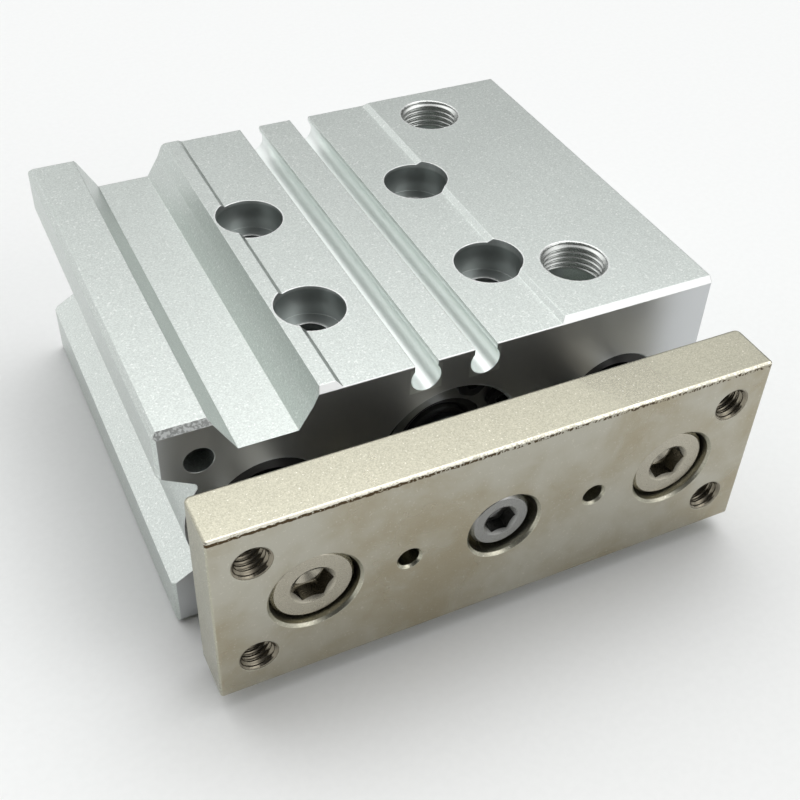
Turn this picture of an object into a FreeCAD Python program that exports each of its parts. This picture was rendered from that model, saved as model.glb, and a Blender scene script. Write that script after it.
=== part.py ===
import FreeCAD, Part
import math
import os
from types import SimpleNamespace

import Sketcher

# Guided pneumatic cylinder with slide bearings: an extruded body, a piston and two guide rods
# side by side, and a tool plate bolted to the three rods.
#
# Frame: X runs along the long side of the tool plate, Y from the plate to the back of the body,
# Z up. The origin is under the middle of the whole cylinder, retracted, on its bottom face.
# Lengths are in millimetres. Tapped holes are plain bores of the thread's nominal size.

SIZES = {
    # Travel and overall sizes
    "stroke": 30.0,
    "body_base_length": 37.0,       # what the body measures beyond the stroke
    "body_width": 83.0,
    "body_height": 36.0,
    "plate_gap": 8.0,               # between plate and body when retracted
    # Clearances
    "running_clearance": 0.03,      # radial, round a sliding shaft
    "seat_clearance": 0.04,         # radial, round a piece that stays in its seat
    "stop_clearance": 0.1,          # piston to bumper at each end of the stroke
    # Section of the extruded body
    "edge_bevel": 0.75,
    "strip_width": 2.35,            # raised strip between the sunk flat and the channel
    "channel_depth": 5.9,
    "channel_outer_run": 3.4,       # sloping wall beside the wing, seen from above
    "channel_floor_width": 8.25,
    "channel_inner_run": 2.05,      # lower, flatter part of the wall beside the strip
    "channel_inner_rise": 3.3,
    "channel_lip_run": 1.15,        # upper, steeper part of that wall
    "flat_half_width": 16.35,       # sunk flat with the sensor grooves
    "flat_depth": 0.7,
    "notch_mouth": 20.6,            # side notch between the upper and lower wings
    "notch_offset": 0.55,           # middle of the notch above the rods' axis
    "notch_depth": 4.9,
    "notch_lip_rise": 2.9,
    "notch_corner_radius": 0.7,
    "guide_wall": 4.4,              # wall round the left guide bore, bulging into the notch
    "groove_radius": 2.2,           # round bottomed sensor grooves
    "groove_centre_depth": 2.35,
    "groove_neck": 3.4,
    "groove_spacing": 8.9,
    "end_chamfer": 0.8,             # milled along the top and bottom of both ends
    "wing_side_chamfer": 0.5,       # along the wings' side of both ends
    "port_side_chamfer": 0.15,      # along the ports' side of both ends
    # Piston bore and what closes it
    "bore_radius": 10.0,
    "cover_seat_radius": 11.0,
    "bore_chamfer": 0.5,
    "ring_offset": 1.8,             # body end face to retaining ring
    "ring_thickness": 1.0,
    "ring_groove_width": 1.1,
    "ring_groove_depth": 0.5,
    "head_cover_depth": 10.0,       # back face to the inner face of the head cover
    "cover_nose_radius": 8.6,
    "cover_land": 0.35,             # between a port passage and the shoulder of its cover
    "gasket_section": 1.6,
    "gasket_land": 1.1,
    "seal_housing_radius": 6.9,
    "seal_setback": 1.0,
    "seal_length": 3.6,
    "cover_recess_radius": 6.5,
    "cover_recess_depth": 1.0,
    # Retaining rings
    "ring_band": 1.5,               # beside the lugs
    "ring_eccentricity": 0.45,
    "ring_lug_reach": 3.3,
    "ring_lug_width": 4.2,
    "ring_lug_offset": 3.42,         # from the middle of the gap to an eye
    "ring_lug_corner": 1.5,
    "ring_gap": 2.6,
    "ring_gap_angle": 43.0,         # turned from the top, seen from the plate
    "ring_eye_radius": 1.0,
    # Piston, its rings and its rod
    "piston_length": 10.8,
    "piston_clearance": 0.07,
    "piston_land": 0.8,
    "seal_groove_width": 2.9,
    "seal_groove_depth": 2.7,
    "magnet_width": 2.6,
    "magnet_depth": 2.3,
    "wear_ring_width": 2.3,
    "wear_ring_depth": 1.0,
    "bumper_thickness": 1.0,
    "bumper_inner_radius": 6.2,
    "piston_rod_radius": 5.0,
    "spigot_radius": 3.5,
    "rivet_depth": 1.2,
    "rivet_radius": 4.6,
    "rod_chamfer": 0.8,
    # Guide rods, bushes and wipers
    "guide_inset": 14.5,            # side of the body to the guide rod's axis
    "guide_rod_radius": 6.0,
    "guide_rod_setback": 1.0,       # rod end inside the back face
    "bush_wall": 1.47,
    "bush_gap": 3.4,
    "bush_overrun": 1.1,            # rod left beyond the rear bush at full stroke
    "felt_step": 0.6,
    "felt_thickness": 1.7,
    "holder_thickness": 1.2,
    "holder_setback": 0.5,
    "holder_bore_gap": 0.35,
    # Air ports
    "port_radius": 4.85,
    "port_chamfer": 0.15,
    "port_depth": 7.5,
    "port_inset": 16.3,             # side of the body to the port's axis
    "front_port_offset": 11.6,
    "rear_port_offset": 8.5,
    "port_floor_rise": 1.0,
    "passage_radius": 1.25,
    "passage_angle": 35.0,          # below level, from the port to the piston bore
    "passage_start_depth": 2.8,
    "passage_end_x": 6.0,           # where the drill stops, inside the piston bore
    "side_port_height": 22.0,
    "side_port_depth": 5.6,
    "plug_length": 4.8,
    "plug_setback": 0.4,
    "plug_hex": 5.0,
    "plug_hex_depth": 3.2,
    # Fixing holes in the body
    "mount_spacing_x": 28.0,
    "mount_front_offset": 17.0,
    "mount_spacing_y": 24.0,
    "counterbore_radius": 5.05,
    "counterbore_depth": 5.5,       # below the raised land
    "mount_hole_radius": 2.75,
    "mount_thread_radius": 3.0,
    "mount_thread_depth": 12.0,
    "end_hole_inset": 5.5,          # side of the body to the hole's axis
    "end_hole_spacing_z": 24.0,
    "end_thread_radius": 2.5,
    "end_thread_depth": 13.0,
    "core_hole_radius": 2.05,
    "hole_chamfer": 0.25,
    "locating_radius": 1.5,
    "locating_depth": 6.0,
    "locating_slot_travel": 0.5,
    # Tool plate and its screws
    "plate_inset": 1.0,             # plate's end inside the side of the body
    "plate_height": 30.0,
    "plate_thickness": 8.0,
    "plate_back_radius": 0.9,       # upright edges at the back
    "plate_edge_radius": 0.4,       # all the other edges
    "sink_chamfer": 0.38,
    "plate_hole_inset": 5.5,        # end of the plate to the corner threads
    "plate_hole_spacing_z": 18.0,
    "plate_thread_radius": 2.5,
    "pin_hole_spacing": 28.0,
    "pin_hole_radius": 1.5,
    "pin_hole_chamfer": 0.35,
    "screw_sink": 1.0,              # plate face to screw head
    "screw_head_height": 4.4,
    "screw_head_chamfer": 0.4,
    "screw_reach": 10.0,            # into the rod
    "tapped_depth": 13.0,
    "screw_hole_gap": 0.3,
    "hex_depth": 2.7,
    "socket_bevel": 0.3,            # its mouth beyond the corners of the hexagon
    "socket_ledge": 0.1,            # pilot hole inside the flats of the hexagon
    "drill_slope": 0.58,            # depth of a drill's cone for its radius
    "guide_screw_radius": 3.0,
    "guide_head_radius": 5.7,
    "guide_sink_radius": 6.2,
    "guide_hex": 5.0,
    "centre_screw_radius": 2.5,
    "centre_head_radius": 4.4,
    "centre_sink_radius": 5.25,
    "centre_hex": 4.0,
}


class Length:
    """A size known as a number and as the expression that gives it in the document."""

    def __init__(self, value, text):
        self.value = float(value)
        self.text = text

    def joined(self, sign, other, value):
        return Length(value, f"({self.text} {sign} {other.text})")

    def __add__(self, other):
        other = length(other)
        return self.joined("+", other, self.value + other.value)

    def __sub__(self, other):
        other = length(other)
        return self.joined("-", other, self.value - other.value)

    def __mul__(self, other):
        other = length(other)
        return self.joined("*", other, self.value * other.value)

    def __truediv__(self, other):
        other = length(other)
        return self.joined("/", other, self.value / other.value)

    def __radd__(self, other):
        return length(other) + self

    def __rsub__(self, other):
        return length(other) - self

    def __rmul__(self, other):
        return length(other) * self

    def __neg__(self):
        return length(0) - self


def length(number):
    """Give a plain number the form of a size."""
    return number if isinstance(number, Length) else Length(number, repr(float(number)))


def cosine(angle):
    return Length(math.cos(math.radians(angle.value)), f"cos({angle.text})")


def sine(angle):
    return Length(math.sin(math.radians(angle.value)), f"sin({angle.text})")


def root(number):
    return Length(math.sqrt(number.value), f"sqrt({number.text})")


# ---------------------------------------------------------------- document and sheet of sizes

doc = FreeCAD.newDocument("guided_cylinder")
sheet = doc.addObject("Spreadsheet::Sheet", "Sizes")
for row, (alias, number) in enumerate(SIZES.items(), start=1):
    sheet.set(f"A{row}", alias)
    sheet.set(f"B{row}", str(number))
    sheet.setAlias(f"B{row}", alias)
doc.recompute()
S = SimpleNamespace(**{alias: Length(sheet.get(alias), f"Sizes.{alias}") for alias in SIZES})

OVERRUN = length(1.0)   # how far a cutting outline runs past the surface
TINY = 0.01             # difference at which two places count as the same
CORNER_MARGIN = 0.001   # straight edge left beside a fillet that its wall limits


# ---------------------------------------------------------------- drawing and feature helpers

def bind(target, prop, size):
    """Tie a property to the sheet; a plain number is set as it is."""
    target.setExpression(prop, length(size).text)


def new_body(name, x=0.0, y=0.0, z=0.0):
    """Start a part whose own frame lies at the given point of the cylinder's frame."""
    body = doc.addObject("PartDesign::Body", name)
    body.Label = name
    place(body, x, y, z)
    return body


def place(part, x, y, z, rotation=None):
    """Set a part's place, and tie each coordinate to the sheet."""
    x, y, z = length(x), length(y), length(z)
    part.Placement = FreeCAD.Placement(FreeCAD.Vector(x.value, y.value, z.value),
                                       rotation or FreeCAD.Rotation())
    for axis, size in (("x", x), ("y", y), ("z", z)):
        bind(part, f"Placement.Base.{axis}", size)


def new_sketch(body, name, plane, x=0.0, y=0.0, z=0.0):
    """Start a sketch on one of the body's own planes, moved in the sketch's own directions."""
    sketch = body.newObject("Sketcher::SketchObject", name)
    support = next(f for f in body.Origin.OriginFeatures if f.Role == plane)
    sketch.AttachmentSupport = (support, [""])
    sketch.MapMode = "FlatFace"
    for axis, size in (("x", x), ("y", y), ("z", z)):
        bind(sketch, f"AttachmentOffset.Base.{axis}", size)
    return sketch


def dimension(sketch, kind, items, size):
    """Add a dimension tied to the sheet."""
    size = length(size)
    index = sketch.addConstraint(Sketcher.Constraint(kind, *items, size.value))
    sketch.setExpression(f"Constraints[{index}]", size.text)


def fix_point(sketch, geometry, point, across, up):
    """Dimension a point from the sketch's origin; a zero puts it on the axis."""
    for kind, axis, size in (("DistanceX", -2, across), ("DistanceY", -1, up)):
        size = length(size)
        if size.text == "0.0":
            sketch.addConstraint(Sketcher.Constraint("PointOnObject", geometry, point, axis))
        else:
            dimension(sketch, kind, (-1, 1, geometry, point), size)


def draw_polygon(sketch, corners):
    """Draw a closed outline; a corner level with the one before it shares its dimension."""
    corners = [(length(across), length(up)) for across, up in corners]
    points = [FreeCAD.Vector(across.value, up.value, 0) for across, up in corners]
    first = sketch.GeometryCount
    count = len(corners)
    for index in range(count):
        sketch.addGeometry(Part.LineSegment(points[index], points[(index + 1) % count]), False)
    for index in range(count):
        following = first + (index + 1) % count
        sketch.addConstraint(Sketcher.Constraint("Coincident", first + index, 2, following, 1))
    fix_point(sketch, first, 1, *corners[0])
    for index in range(1, count):
        line = first + index
        for kind, run, part in (("DistanceX", "Vertical", 0), ("DistanceY", "Horizontal", 1)):
            size = corners[index][part]
            if size.text == corners[index - 1][part].text:
                sketch.addConstraint(Sketcher.Constraint(run, line - 1))
            elif size.text == "0.0":
                axis = -2 if part == 0 else -1
                sketch.addConstraint(Sketcher.Constraint("PointOnObject", line, 1, axis))
            else:
                dimension(sketch, kind, (-1, 1, line, 1), size)


def draw_circle(sketch, across, up, radius):
    """Draw a circle dimensioned from the sketch's origin."""
    across, up, radius = length(across), length(up), length(radius)
    centre = FreeCAD.Vector(across.value, up.value, 0)
    circle = sketch.addGeometry(Part.Circle(centre, FreeCAD.Vector(0, 0, 1), radius.value), False)
    dimension(sketch, "Radius", (circle,), radius)
    fix_point(sketch, circle, 3, across, up)


def arcsine(ratio):
    return Length(math.degrees(math.asin(ratio.value)), f"asin({ratio.text})")


def least(one, other):
    return Length(min(one.value, other.value), f"min({one.text}; {other.text})")


def hexagon_corner(across_flats):
    """Distance from a hexagon's middle to its corners."""
    return across_flats * (1 / math.sqrt(3))


def draw_hexagon(sketch, across_flats):
    """Draw a hexagon round the sketch's origin, with two level sides."""
    half = across_flats / 2
    corner = hexagon_corner(across_flats)
    draw_polygon(sketch, [(corner, 0.0), (corner / 2, half), (-corner / 2, half),
                          (-corner, 0.0), (-corner / 2, -half), (corner / 2, -half)])


def extrude(body, kind, name, sketch, size=None, reverse=False):
    """Add a Pad or a Pocket; without a size it runs through everything."""
    before = volume(body)
    feature = body.newObject(f"PartDesign::{kind}", name)
    feature.Profile = sketch
    feature.Reversed = reverse
    if size is None:
        feature.Type = "ThroughAll"
    else:
        bind(feature, "Length", size)
    return finish_feature(body, feature, before, kind == "Pocket")


def turn(body, kind, name, sketch, axis="V_Axis"):
    """Add a Revolution or a Groove all the way round one of the sketch's axes."""
    before = volume(body)
    feature = body.newObject(f"PartDesign::{kind}", name)
    feature.Profile = sketch
    feature.ReferenceAxis = (sketch, [axis])
    feature.Angle = 360.0
    return finish_feature(body, feature, before, kind == "Groove")


def mirror(body, name, originals):
    """Repeat features on the other side of the body's middle plane."""
    before = volume(body)
    feature = body.newObject("PartDesign::Mirrored", name)
    feature.Originals = originals
    middle = next(f for f in body.Origin.OriginFeatures if f.Role == "YZ_Plane")
    feature.MirrorPlane = (middle, [""])
    body.Tip = feature
    return finish_feature(body, feature, before, True)


def volume(body):
    """Volume of the body as built so far."""
    return 0.0 if body.Shape.isNull() else body.Shape.Volume


def finish_feature(body, feature, before, removes):
    """Recompute, and make sure that a cut removes material and an addition brings some."""
    doc.recompute()
    change = volume(body) - before
    if change == 0.0 or (change < 0.0) != removes:
        raise ValueError(f"{body.Label}: {feature.Name} changes nothing")
    return feature


def dress_edges(body, kind, name, base, prop, size, test):
    """Round or chamfer the edges of the last feature that pass a test on their middle."""
    edges = []
    for index, edge in enumerate(base.Shape.Edges, start=1):
        middle = edge.valueAt((edge.FirstParameter + edge.LastParameter) / 2)
        if test(edge, middle):
            edges.append(f"Edge{index}")
    if not edges:
        raise ValueError(f"{body.Label}: no edges for {name}")
    feature = body.newObject(f"PartDesign::{kind}", name)
    feature.Base = (base, edges)
    bind(feature, prop, size)
    doc.recompute()
    if not feature.isValid():
        raise ValueError(f"{body.Label}: {name} failed")
    return feature


def turned_part(name, profile, x=0.0, y=0.0):
    """Turn a profile of (radius, distance along Y) corners round a line at axis height."""
    body = new_body(name, x, y, axis_height)
    sketch = new_sketch(body, f"{name}_profile", "XY_Plane")
    draw_polygon(sketch, profile)
    turn(body, "Revolution", f"{name}_turned", sketch)
    return body


def ring_part(name, inner, outer, thickness, x, y):
    """Turn a plain ring."""
    return turned_part(name, [(inner, 0.0), (outer, 0.0), (outer, thickness), (inner, thickness)],
                       x, y)


# ---------------------------------------------------------------- places that parts share

axis_height = S.body_height / 2
body_length = S.body_base_length + S.stroke
overall_length = S.plate_thickness + S.plate_gap + body_length
plate_front = -overall_length / 2
plate_back = plate_front + S.plate_thickness
body_front = plate_back + S.plate_gap
body_back = body_front + body_length
half_width = S.body_width / 2
land_height = S.body_height
flat_height = S.body_height - S.flat_depth
guide_x = half_width - S.guide_inset
port_x = half_width - S.port_inset
end_hole_x = half_width - S.end_hole_inset
plate_half_width = half_width - S.plate_inset

# Along Y from the body's front face
cover_face = S.ring_offset + S.ring_groove_width
front_shoulder = S.front_port_offset - S.passage_radius - S.cover_land
rear_shoulder = body_length - S.rear_port_offset + S.passage_radius + S.cover_land
head_face = body_length - S.head_cover_depth
piston_back = head_face - S.bumper_thickness - S.stop_clearance
piston_front = piston_back - S.piston_length
collar_face = piston_front - S.stroke - S.stop_clearance - S.bumper_thickness
guide_rod_end = body_length - S.guide_rod_setback

bush_outer = S.guide_rod_radius + S.running_clearance + S.bush_wall
guide_bore = bush_outer + S.seat_clearance
felt_recess = guide_bore + S.felt_step
felt_recess_depth = S.holder_setback + S.holder_thickness + S.felt_thickness
rear_bush_end = guide_rod_end - S.stroke - S.bush_overrun
bush_length = (rear_bush_end - felt_recess_depth - S.bush_gap) / 2
cover_radius = S.cover_seat_radius - S.seat_clearance
gasket_radius = S.gasket_section / 2
gasket_ring_radius = cover_radius - gasket_radius
gasket_floor = gasket_ring_radius - gasket_radius - S.seat_clearance


# ---------------------------------------------------------------- extruded body

def section_corners():
    """Corners of the extrusion, from the bottom left, as (X, height)."""
    channel_floor = land_height - S.channel_depth
    step = S.flat_depth
    strip_edge = -(S.flat_half_width + step + S.strip_width)
    lip_start = strip_edge - S.channel_lip_run
    floor_end = lip_start - S.channel_inner_run
    floor_start = floor_end - S.channel_floor_width
    wing = floor_start - S.channel_outer_run
    notch_middle = axis_height + S.notch_offset
    notch_top = notch_middle + S.notch_mouth / 2
    notch_bottom = notch_middle - S.notch_mouth / 2
    notch_x = S.notch_depth - half_width
    return [
        (S.edge_bevel - half_width, 0.0),
        (half_width, 0.0),
        (half_width, land_height),
        (S.flat_half_width + step, land_height),
        (S.flat_half_width, flat_height),
        (-S.flat_half_width, flat_height),
        (-(S.flat_half_width + step), land_height),
        (strip_edge, land_height),
        (lip_start, channel_floor + S.channel_inner_rise),
        (floor_end, channel_floor),
        (floor_start, channel_floor),
        (wing, land_height),
        (S.edge_bevel - half_width, land_height),
        (-half_width, land_height - S.edge_bevel),
        (-half_width, notch_top),
        (notch_x, notch_top - S.notch_lip_rise),
        (notch_x, notch_bottom + S.notch_lip_rise),
        (-half_width, notch_bottom),
        (-half_width, S.edge_bevel),
    ]


def cut_bore(body):
    """Cut the stepped piston bore, its cover seats and the retaining ring grooves."""
    seat = S.cover_seat_radius
    groove = seat + S.ring_groove_depth
    mouth = seat + S.bore_chamfer
    groove_back = body_length - cover_face
    sketch = new_sketch(body, "bore_profile", "XY_Plane", z=axis_height)
    draw_polygon(sketch, [
        (0.0, 0.0), (mouth, 0.0), (seat, S.bore_chamfer), (seat, S.ring_offset),
        (groove, S.ring_offset), (groove, cover_face), (seat, cover_face),
        (seat, front_shoulder), (S.bore_radius, front_shoulder),
        (S.bore_radius, rear_shoulder), (seat, rear_shoulder), (seat, groove_back),
        (groove, groove_back), (groove, body_length - S.ring_offset),
        (seat, body_length - S.ring_offset), (seat, body_length - S.bore_chamfer),
        (mouth, body_length), (0.0, body_length),
    ])
    turn(body, "Groove", "piston_bore", sketch)


def cut_guide_bores(body):
    """Cut the two guide bores with their felt recesses at the front."""
    chamfer = S.hole_chamfer
    sketch = new_sketch(body, "guide_bore_profile", "XY_Plane", x=guide_x, z=axis_height)
    draw_polygon(sketch, [
        (0.0, 0.0), (felt_recess + chamfer, 0.0), (felt_recess, chamfer),
        (felt_recess, felt_recess_depth), (guide_bore, felt_recess_depth),
        (guide_bore, body_length - chamfer), (guide_bore + chamfer, body_length),
        (0.0, body_length),
    ])
    right = turn(body, "Groove", "guide_bore_right", sketch)
    mirror(body, "guide_bore_left", [right])


def cut_sensor_grooves(body):
    """Cut the two keyhole grooves that hold the position sensors."""
    radius, centre_x = S.groove_radius, S.groove_spacing / 2
    centre_z = flat_height - S.groove_centre_depth
    half_neck = S.groove_neck / 2
    neck_z = centre_z + root(radius * radius - half_neck * half_neck)
    top = land_height + OVERRUN
    sketch = new_sketch(body, "sensor_groove_outline", "XZ_Plane")
    angle = math.asin(half_neck.value / radius.value)
    circle = Part.Circle(FreeCAD.Vector(centre_x.value, centre_z.value, 0),
                         FreeCAD.Vector(0, 0, 1), radius.value)
    quarter = math.pi / 2
    arc = sketch.addGeometry(Part.ArcOfCircle(circle, quarter + angle, 5 * quarter - angle), False)
    corners = [(centre_x + half_neck, neck_z), (centre_x + half_neck, top),
               (centre_x - half_neck, top), (centre_x - half_neck, neck_z)]
    points = [FreeCAD.Vector(across.value, up.value, 0) for across, up in corners]
    right, lid, left = [sketch.addGeometry(Part.LineSegment(a, b), False)
                        for a, b in zip(points, points[1:])]
    for pair in ((arc, 2, right, 1), (right, 2, lid, 1), (lid, 2, left, 1), (left, 2, arc, 1)):
        sketch.addConstraint(Sketcher.Constraint("Coincident", *pair))
    for kind, line in (("Vertical", right), ("Vertical", left), ("Horizontal", lid)):
        sketch.addConstraint(Sketcher.Constraint(kind, line))
    dimension(sketch, "Radius", (arc,), radius)
    fix_point(sketch, arc, 3, centre_x, centre_z)
    fix_point(sketch, lid, 1, centre_x + half_neck, top)
    dimension(sketch, "DistanceX", (-1, 1, lid, 2), centre_x - half_neck)
    right_groove = extrude(body, "Pocket", "sensor_groove_right", sketch)
    mirror(body, "sensor_groove_left", [right_groove])


def mount_points():
    """Centres of the four vertical fixing holes."""
    front = S.mount_front_offset
    return [(side * S.mount_spacing_x / 2, front + row * S.mount_spacing_y)
            for side in (-1, 1) for row in (0, 1)]


def cut_mount_holes(body):
    """Cut the counterbored through holes, tapped from below, and the locating hole and slot."""
    for name, plane_z, radius, depth, reverse in (
            ("counterbores", land_height, S.counterbore_radius, S.counterbore_depth, False),
            ("through_holes", land_height, S.mount_hole_radius, land_height, False),
            ("bottom_threads", length(0.0), S.mount_thread_radius, S.mount_thread_depth, True)):
        sketch = new_sketch(body, f"{name}_circles", "XY_Plane", z=plane_z)
        for x, y in mount_points():
            draw_circle(sketch, x, y, radius)
        extrude(body, "Pocket", name, sketch, depth, reverse)
    middle = S.mount_front_offset + S.mount_spacing_y / 2
    sketch = new_sketch(body, "locating_outline", "XY_Plane")
    draw_circle(sketch, -S.mount_spacing_x / 2, middle, S.locating_radius)
    draw_slot(sketch, S.mount_spacing_x / 2, middle, S.locating_radius, S.locating_slot_travel)
    extrude(body, "Pocket", "locating_holes", sketch, S.locating_depth, True)


def draw_slot(sketch, across, up, radius, travel):
    """Draw a short slot along the sketch's first axis: two half circles and two lines."""
    half = travel / 2
    normal = FreeCAD.Vector(0, 0, 1)
    ends = []
    for side, start in ((1, -math.pi / 2), (-1, math.pi / 2)):
        centre = FreeCAD.Vector((across + side * half).value, up.value, 0)
        arc = Part.ArcOfCircle(Part.Circle(centre, normal, radius.value), start, start + math.pi)
        ends.append(sketch.addGeometry(arc, False))
    right, left = ends
    lines = []
    for level in (1, -1):
        height = (up + level * radius).value
        a = FreeCAD.Vector((across + half).value, height, 0)
        b = FreeCAD.Vector((across - half).value, height, 0)
        lines.append(sketch.addGeometry(Part.LineSegment(a, b), False))
    top, bottom = lines
    for pair in ((right, 2, top, 1), (top, 2, left, 1), (left, 2, bottom, 2), (bottom, 1, right, 1)):
        sketch.addConstraint(Sketcher.Constraint("Tangent", *pair))
    sketch.addConstraint(Sketcher.Constraint("Horizontal", top))
    dimension(sketch, "Radius", (right,), radius)
    fix_point(sketch, right, 3, across + half, up)
    dimension(sketch, "DistanceX", (-1, 1, left, 3), across - half)


def cut_ports(body):
    """Cut the two top ports, the passages to the bore and the two side ports."""
    radius, chamfer = S.port_radius, S.port_chamfer
    floor = land_height - S.port_depth
    inner = half_width - S.side_port_depth
    for end, y in port_rows():
        sketch = new_sketch(body, f"{end}_port_profile", "XZ_Plane", x=port_x, z=-y)
        draw_polygon(sketch, [
            (0.0, land_height), (radius + chamfer, land_height), (radius, land_height - chamfer),
            (radius, floor), (0.0, floor - S.port_floor_rise)])
        turn(body, "Groove", f"{end}_port", sketch)
        cut_passage(body, f"{end}_passage", y)
        sketch = new_sketch(body, f"{end}_side_port_profile", "XY_Plane",
                            y=y, z=S.side_port_height)
        draw_polygon(sketch, [
            (inner, 0.0), (half_width, 0.0), (half_width, radius + chamfer),
            (half_width - chamfer, radius), (inner, radius)])
        turn(body, "Groove", f"{end}_side_port", sketch, "H_Axis")


def port_rows():
    """The two port stations, as distances from the body's front face."""
    return [("front", S.front_port_offset), ("rear", body_length - S.rear_port_offset)]


def cut_passage(body, name, y):
    """Drill a sloping passage from inside a top port down to the piston bore."""
    before = volume(body)
    drill = body.newObject("PartDesign::SubtractiveCylinder", name)
    bind(drill, "Radius", S.passage_radius)
    bind(drill, "Height", (port_x - S.passage_end_x) / cosine(S.passage_angle))
    place(drill, port_x, y, land_height - S.passage_start_depth,
          FreeCAD.Rotation(FreeCAD.Vector(0, 1, 0), -90 - S.passage_angle.value))
    bind(drill, "Placement.Rotation.Angle", 90 + S.passage_angle)
    finish_feature(body, drill, before, True)


def cut_end_holes(body):
    """Cut the tapped holes in the back face, and the cored holes down the left wings."""
    half_z = S.end_hole_spacing_z / 2
    sketch = new_sketch(body, "end_thread_circles", "XZ_Plane", z=-body_length)
    for side in (-1, 1):
        for level in (-1, 1):
            draw_circle(sketch, side * end_hole_x, axis_height + level * half_z,
                        S.end_thread_radius)
    extrude(body, "Pocket", "end_threads", sketch, S.end_thread_depth, True)
    sketch = new_sketch(body, "core_hole_circles", "XZ_Plane")
    for level in (-1, 1):
        draw_circle(sketch, -end_hole_x, axis_height + level * half_z, S.core_hole_radius)
    extrude(body, "Pocket", "core_holes", sketch)


def cut_end_chamfers(body):
    """Bevel the four outer edges of both ends."""
    for name, end, inward in (("front", length(0.0), 1), ("rear", body_length, -1)):
        chamfer = S.end_chamfer
        sketch = new_sketch(body, f"{name}_bevel_corners", "YZ_Plane")
        for edge, toward in ((land_height, -1), (length(0.0), 1)):
            draw_polygon(sketch, [(end, edge + toward * chamfer), (end + inward * chamfer, edge),
                                  (end, edge)])
        cut_both_ways(body, f"{name}_bevel", sketch)
        sketch = new_sketch(body, f"{name}_side_bevel_corners", "XY_Plane")
        for side, chamfer in ((-1, S.wing_side_chamfer), (1, S.port_side_chamfer)):
            edge = side * half_width
            draw_polygon(sketch, [(edge - side * chamfer, end), (edge, end + inward * chamfer),
                                  (edge, end)])
        cut_both_ways(body, f"{name}_side_bevel", sketch)


def cut_both_ways(body, name, sketch):
    """Cut a sketch right through on both sides of its plane."""
    before = volume(body)
    feature = body.newObject("PartDesign::Pocket", name)
    feature.Profile = sketch
    feature.Type = "ThroughAll"
    feature.Midplane = True
    finish_feature(body, feature, before, True)


def build_cylinder_body():
    body = new_body("cylinder_body", 0.0, body_front, 0.0)
    sketch = new_sketch(body, "section", "XZ_Plane")
    draw_polygon(sketch, section_corners())
    extrude(body, "Pad", "extrusion", sketch, body_length, True)
    sketch = new_sketch(body, "guide_wall_circle", "XZ_Plane")
    draw_circle(sketch, -guide_x, axis_height, guide_bore + S.guide_wall)
    wall = extrude(body, "Pad", "guide_wall", sketch, body_length, True)

    def in_notch_corner(edge, middle):
        inside = -half_width.value < middle.x - TINY < -guide_x.value - S.guide_rod_radius.value
        reach = abs(middle.z - (axis_height + S.notch_offset).value) + TINY
        lip = S.notch_mouth.value / 2
        return inside and reach < lip and abs(edge.Length - body_length.value) < TINY
    dress_edges(body, "Fillet", "notch_corners", wall, "Radius", S.notch_corner_radius,
                in_notch_corner)
    cut_bore(body)
    cut_guide_bores(body)
    cut_sensor_grooves(body)
    cut_mount_holes(body)
    cut_ports(body)
    cut_end_holes(body)
    cut_end_chamfers(body)


# ---------------------------------------------------------------- covers, seals and rings

def cover_gasket_corners(centre):
    """Corners of the gasket groove in the rim of a cover, in the order of rising distance."""
    half = gasket_radius + S.seat_clearance
    return [(cover_radius, centre - half), (gasket_floor, centre - half),
            (gasket_floor, centre + half), (cover_radius, centre + half)]


def build_gasket(name, y):
    """An O-ring lying in the groove of its cover."""
    gasket = doc.addObject("Part::Torus", name)
    gasket.Label = name
    bind(gasket, "Radius1", gasket_ring_radius)
    bind(gasket, "Radius2", gasket_radius - S.seat_clearance / 2)
    place(gasket, 0.0, y, axis_height, FreeCAD.Rotation(FreeCAD.Vector(1, 0, 0), 90))


def build_rod_collar():
    """Front cover that carries the piston rod, with its seal housing and gasket."""
    rim_end = front_shoulder - cover_face
    total = collar_face - cover_face
    housing_end = S.seal_setback + S.seal_length
    rod_hole = S.piston_rod_radius + S.running_clearance
    gasket_centre = rim_end - S.gasket_land - gasket_radius
    turned_part("rod_collar", [
        (S.seal_housing_radius, 0.0), (cover_radius, 0.0),
        *cover_gasket_corners(gasket_centre),
        (cover_radius, rim_end), (S.cover_nose_radius, rim_end), (S.cover_nose_radius, total),
        (rod_hole, total), (rod_hole, housing_end), (S.seal_housing_radius, housing_end),
    ], 0.0, body_front + cover_face)
    build_gasket("collar_gasket", body_front + cover_face + gasket_centre)


def build_rod_seal():
    """Lip seal round the piston rod, open towards the pressure side."""
    inner = S.piston_rod_radius + S.running_clearance
    outer = S.seal_housing_radius - S.seat_clearance
    width = outer - inner
    size = S.seal_length
    lip = size / 10
    turned_part("rod_seal", [
        (inner + width / 4, 0.0), (outer, 0.0), (outer, size), (outer - width / 4, size),
        (inner + width / 2, size / 2), (inner + width / 4, size), (inner, size - lip),
        (inner, lip),
    ], 0.0, body_front + cover_face + S.seal_setback)


def build_head_cover():
    """Closing cover at the back of the piston bore."""
    rim_start = rear_shoulder - head_face
    total = body_length - cover_face - head_face
    gasket_centre = rim_start + S.gasket_land + gasket_radius
    turned_part("head_cover", [
        (0.0, 0.0), (S.cover_nose_radius, 0.0), (S.cover_nose_radius, rim_start),
        (cover_radius, rim_start), *cover_gasket_corners(gasket_centre),
        (cover_radius, total), (S.cover_recess_radius, total),
        (S.cover_recess_radius, total - S.cover_recess_depth),
        (0.0, total - S.cover_recess_depth),
    ], 0.0, body_front + head_face)
    build_gasket("head_gasket", body_front + head_face + gasket_centre)


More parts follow.
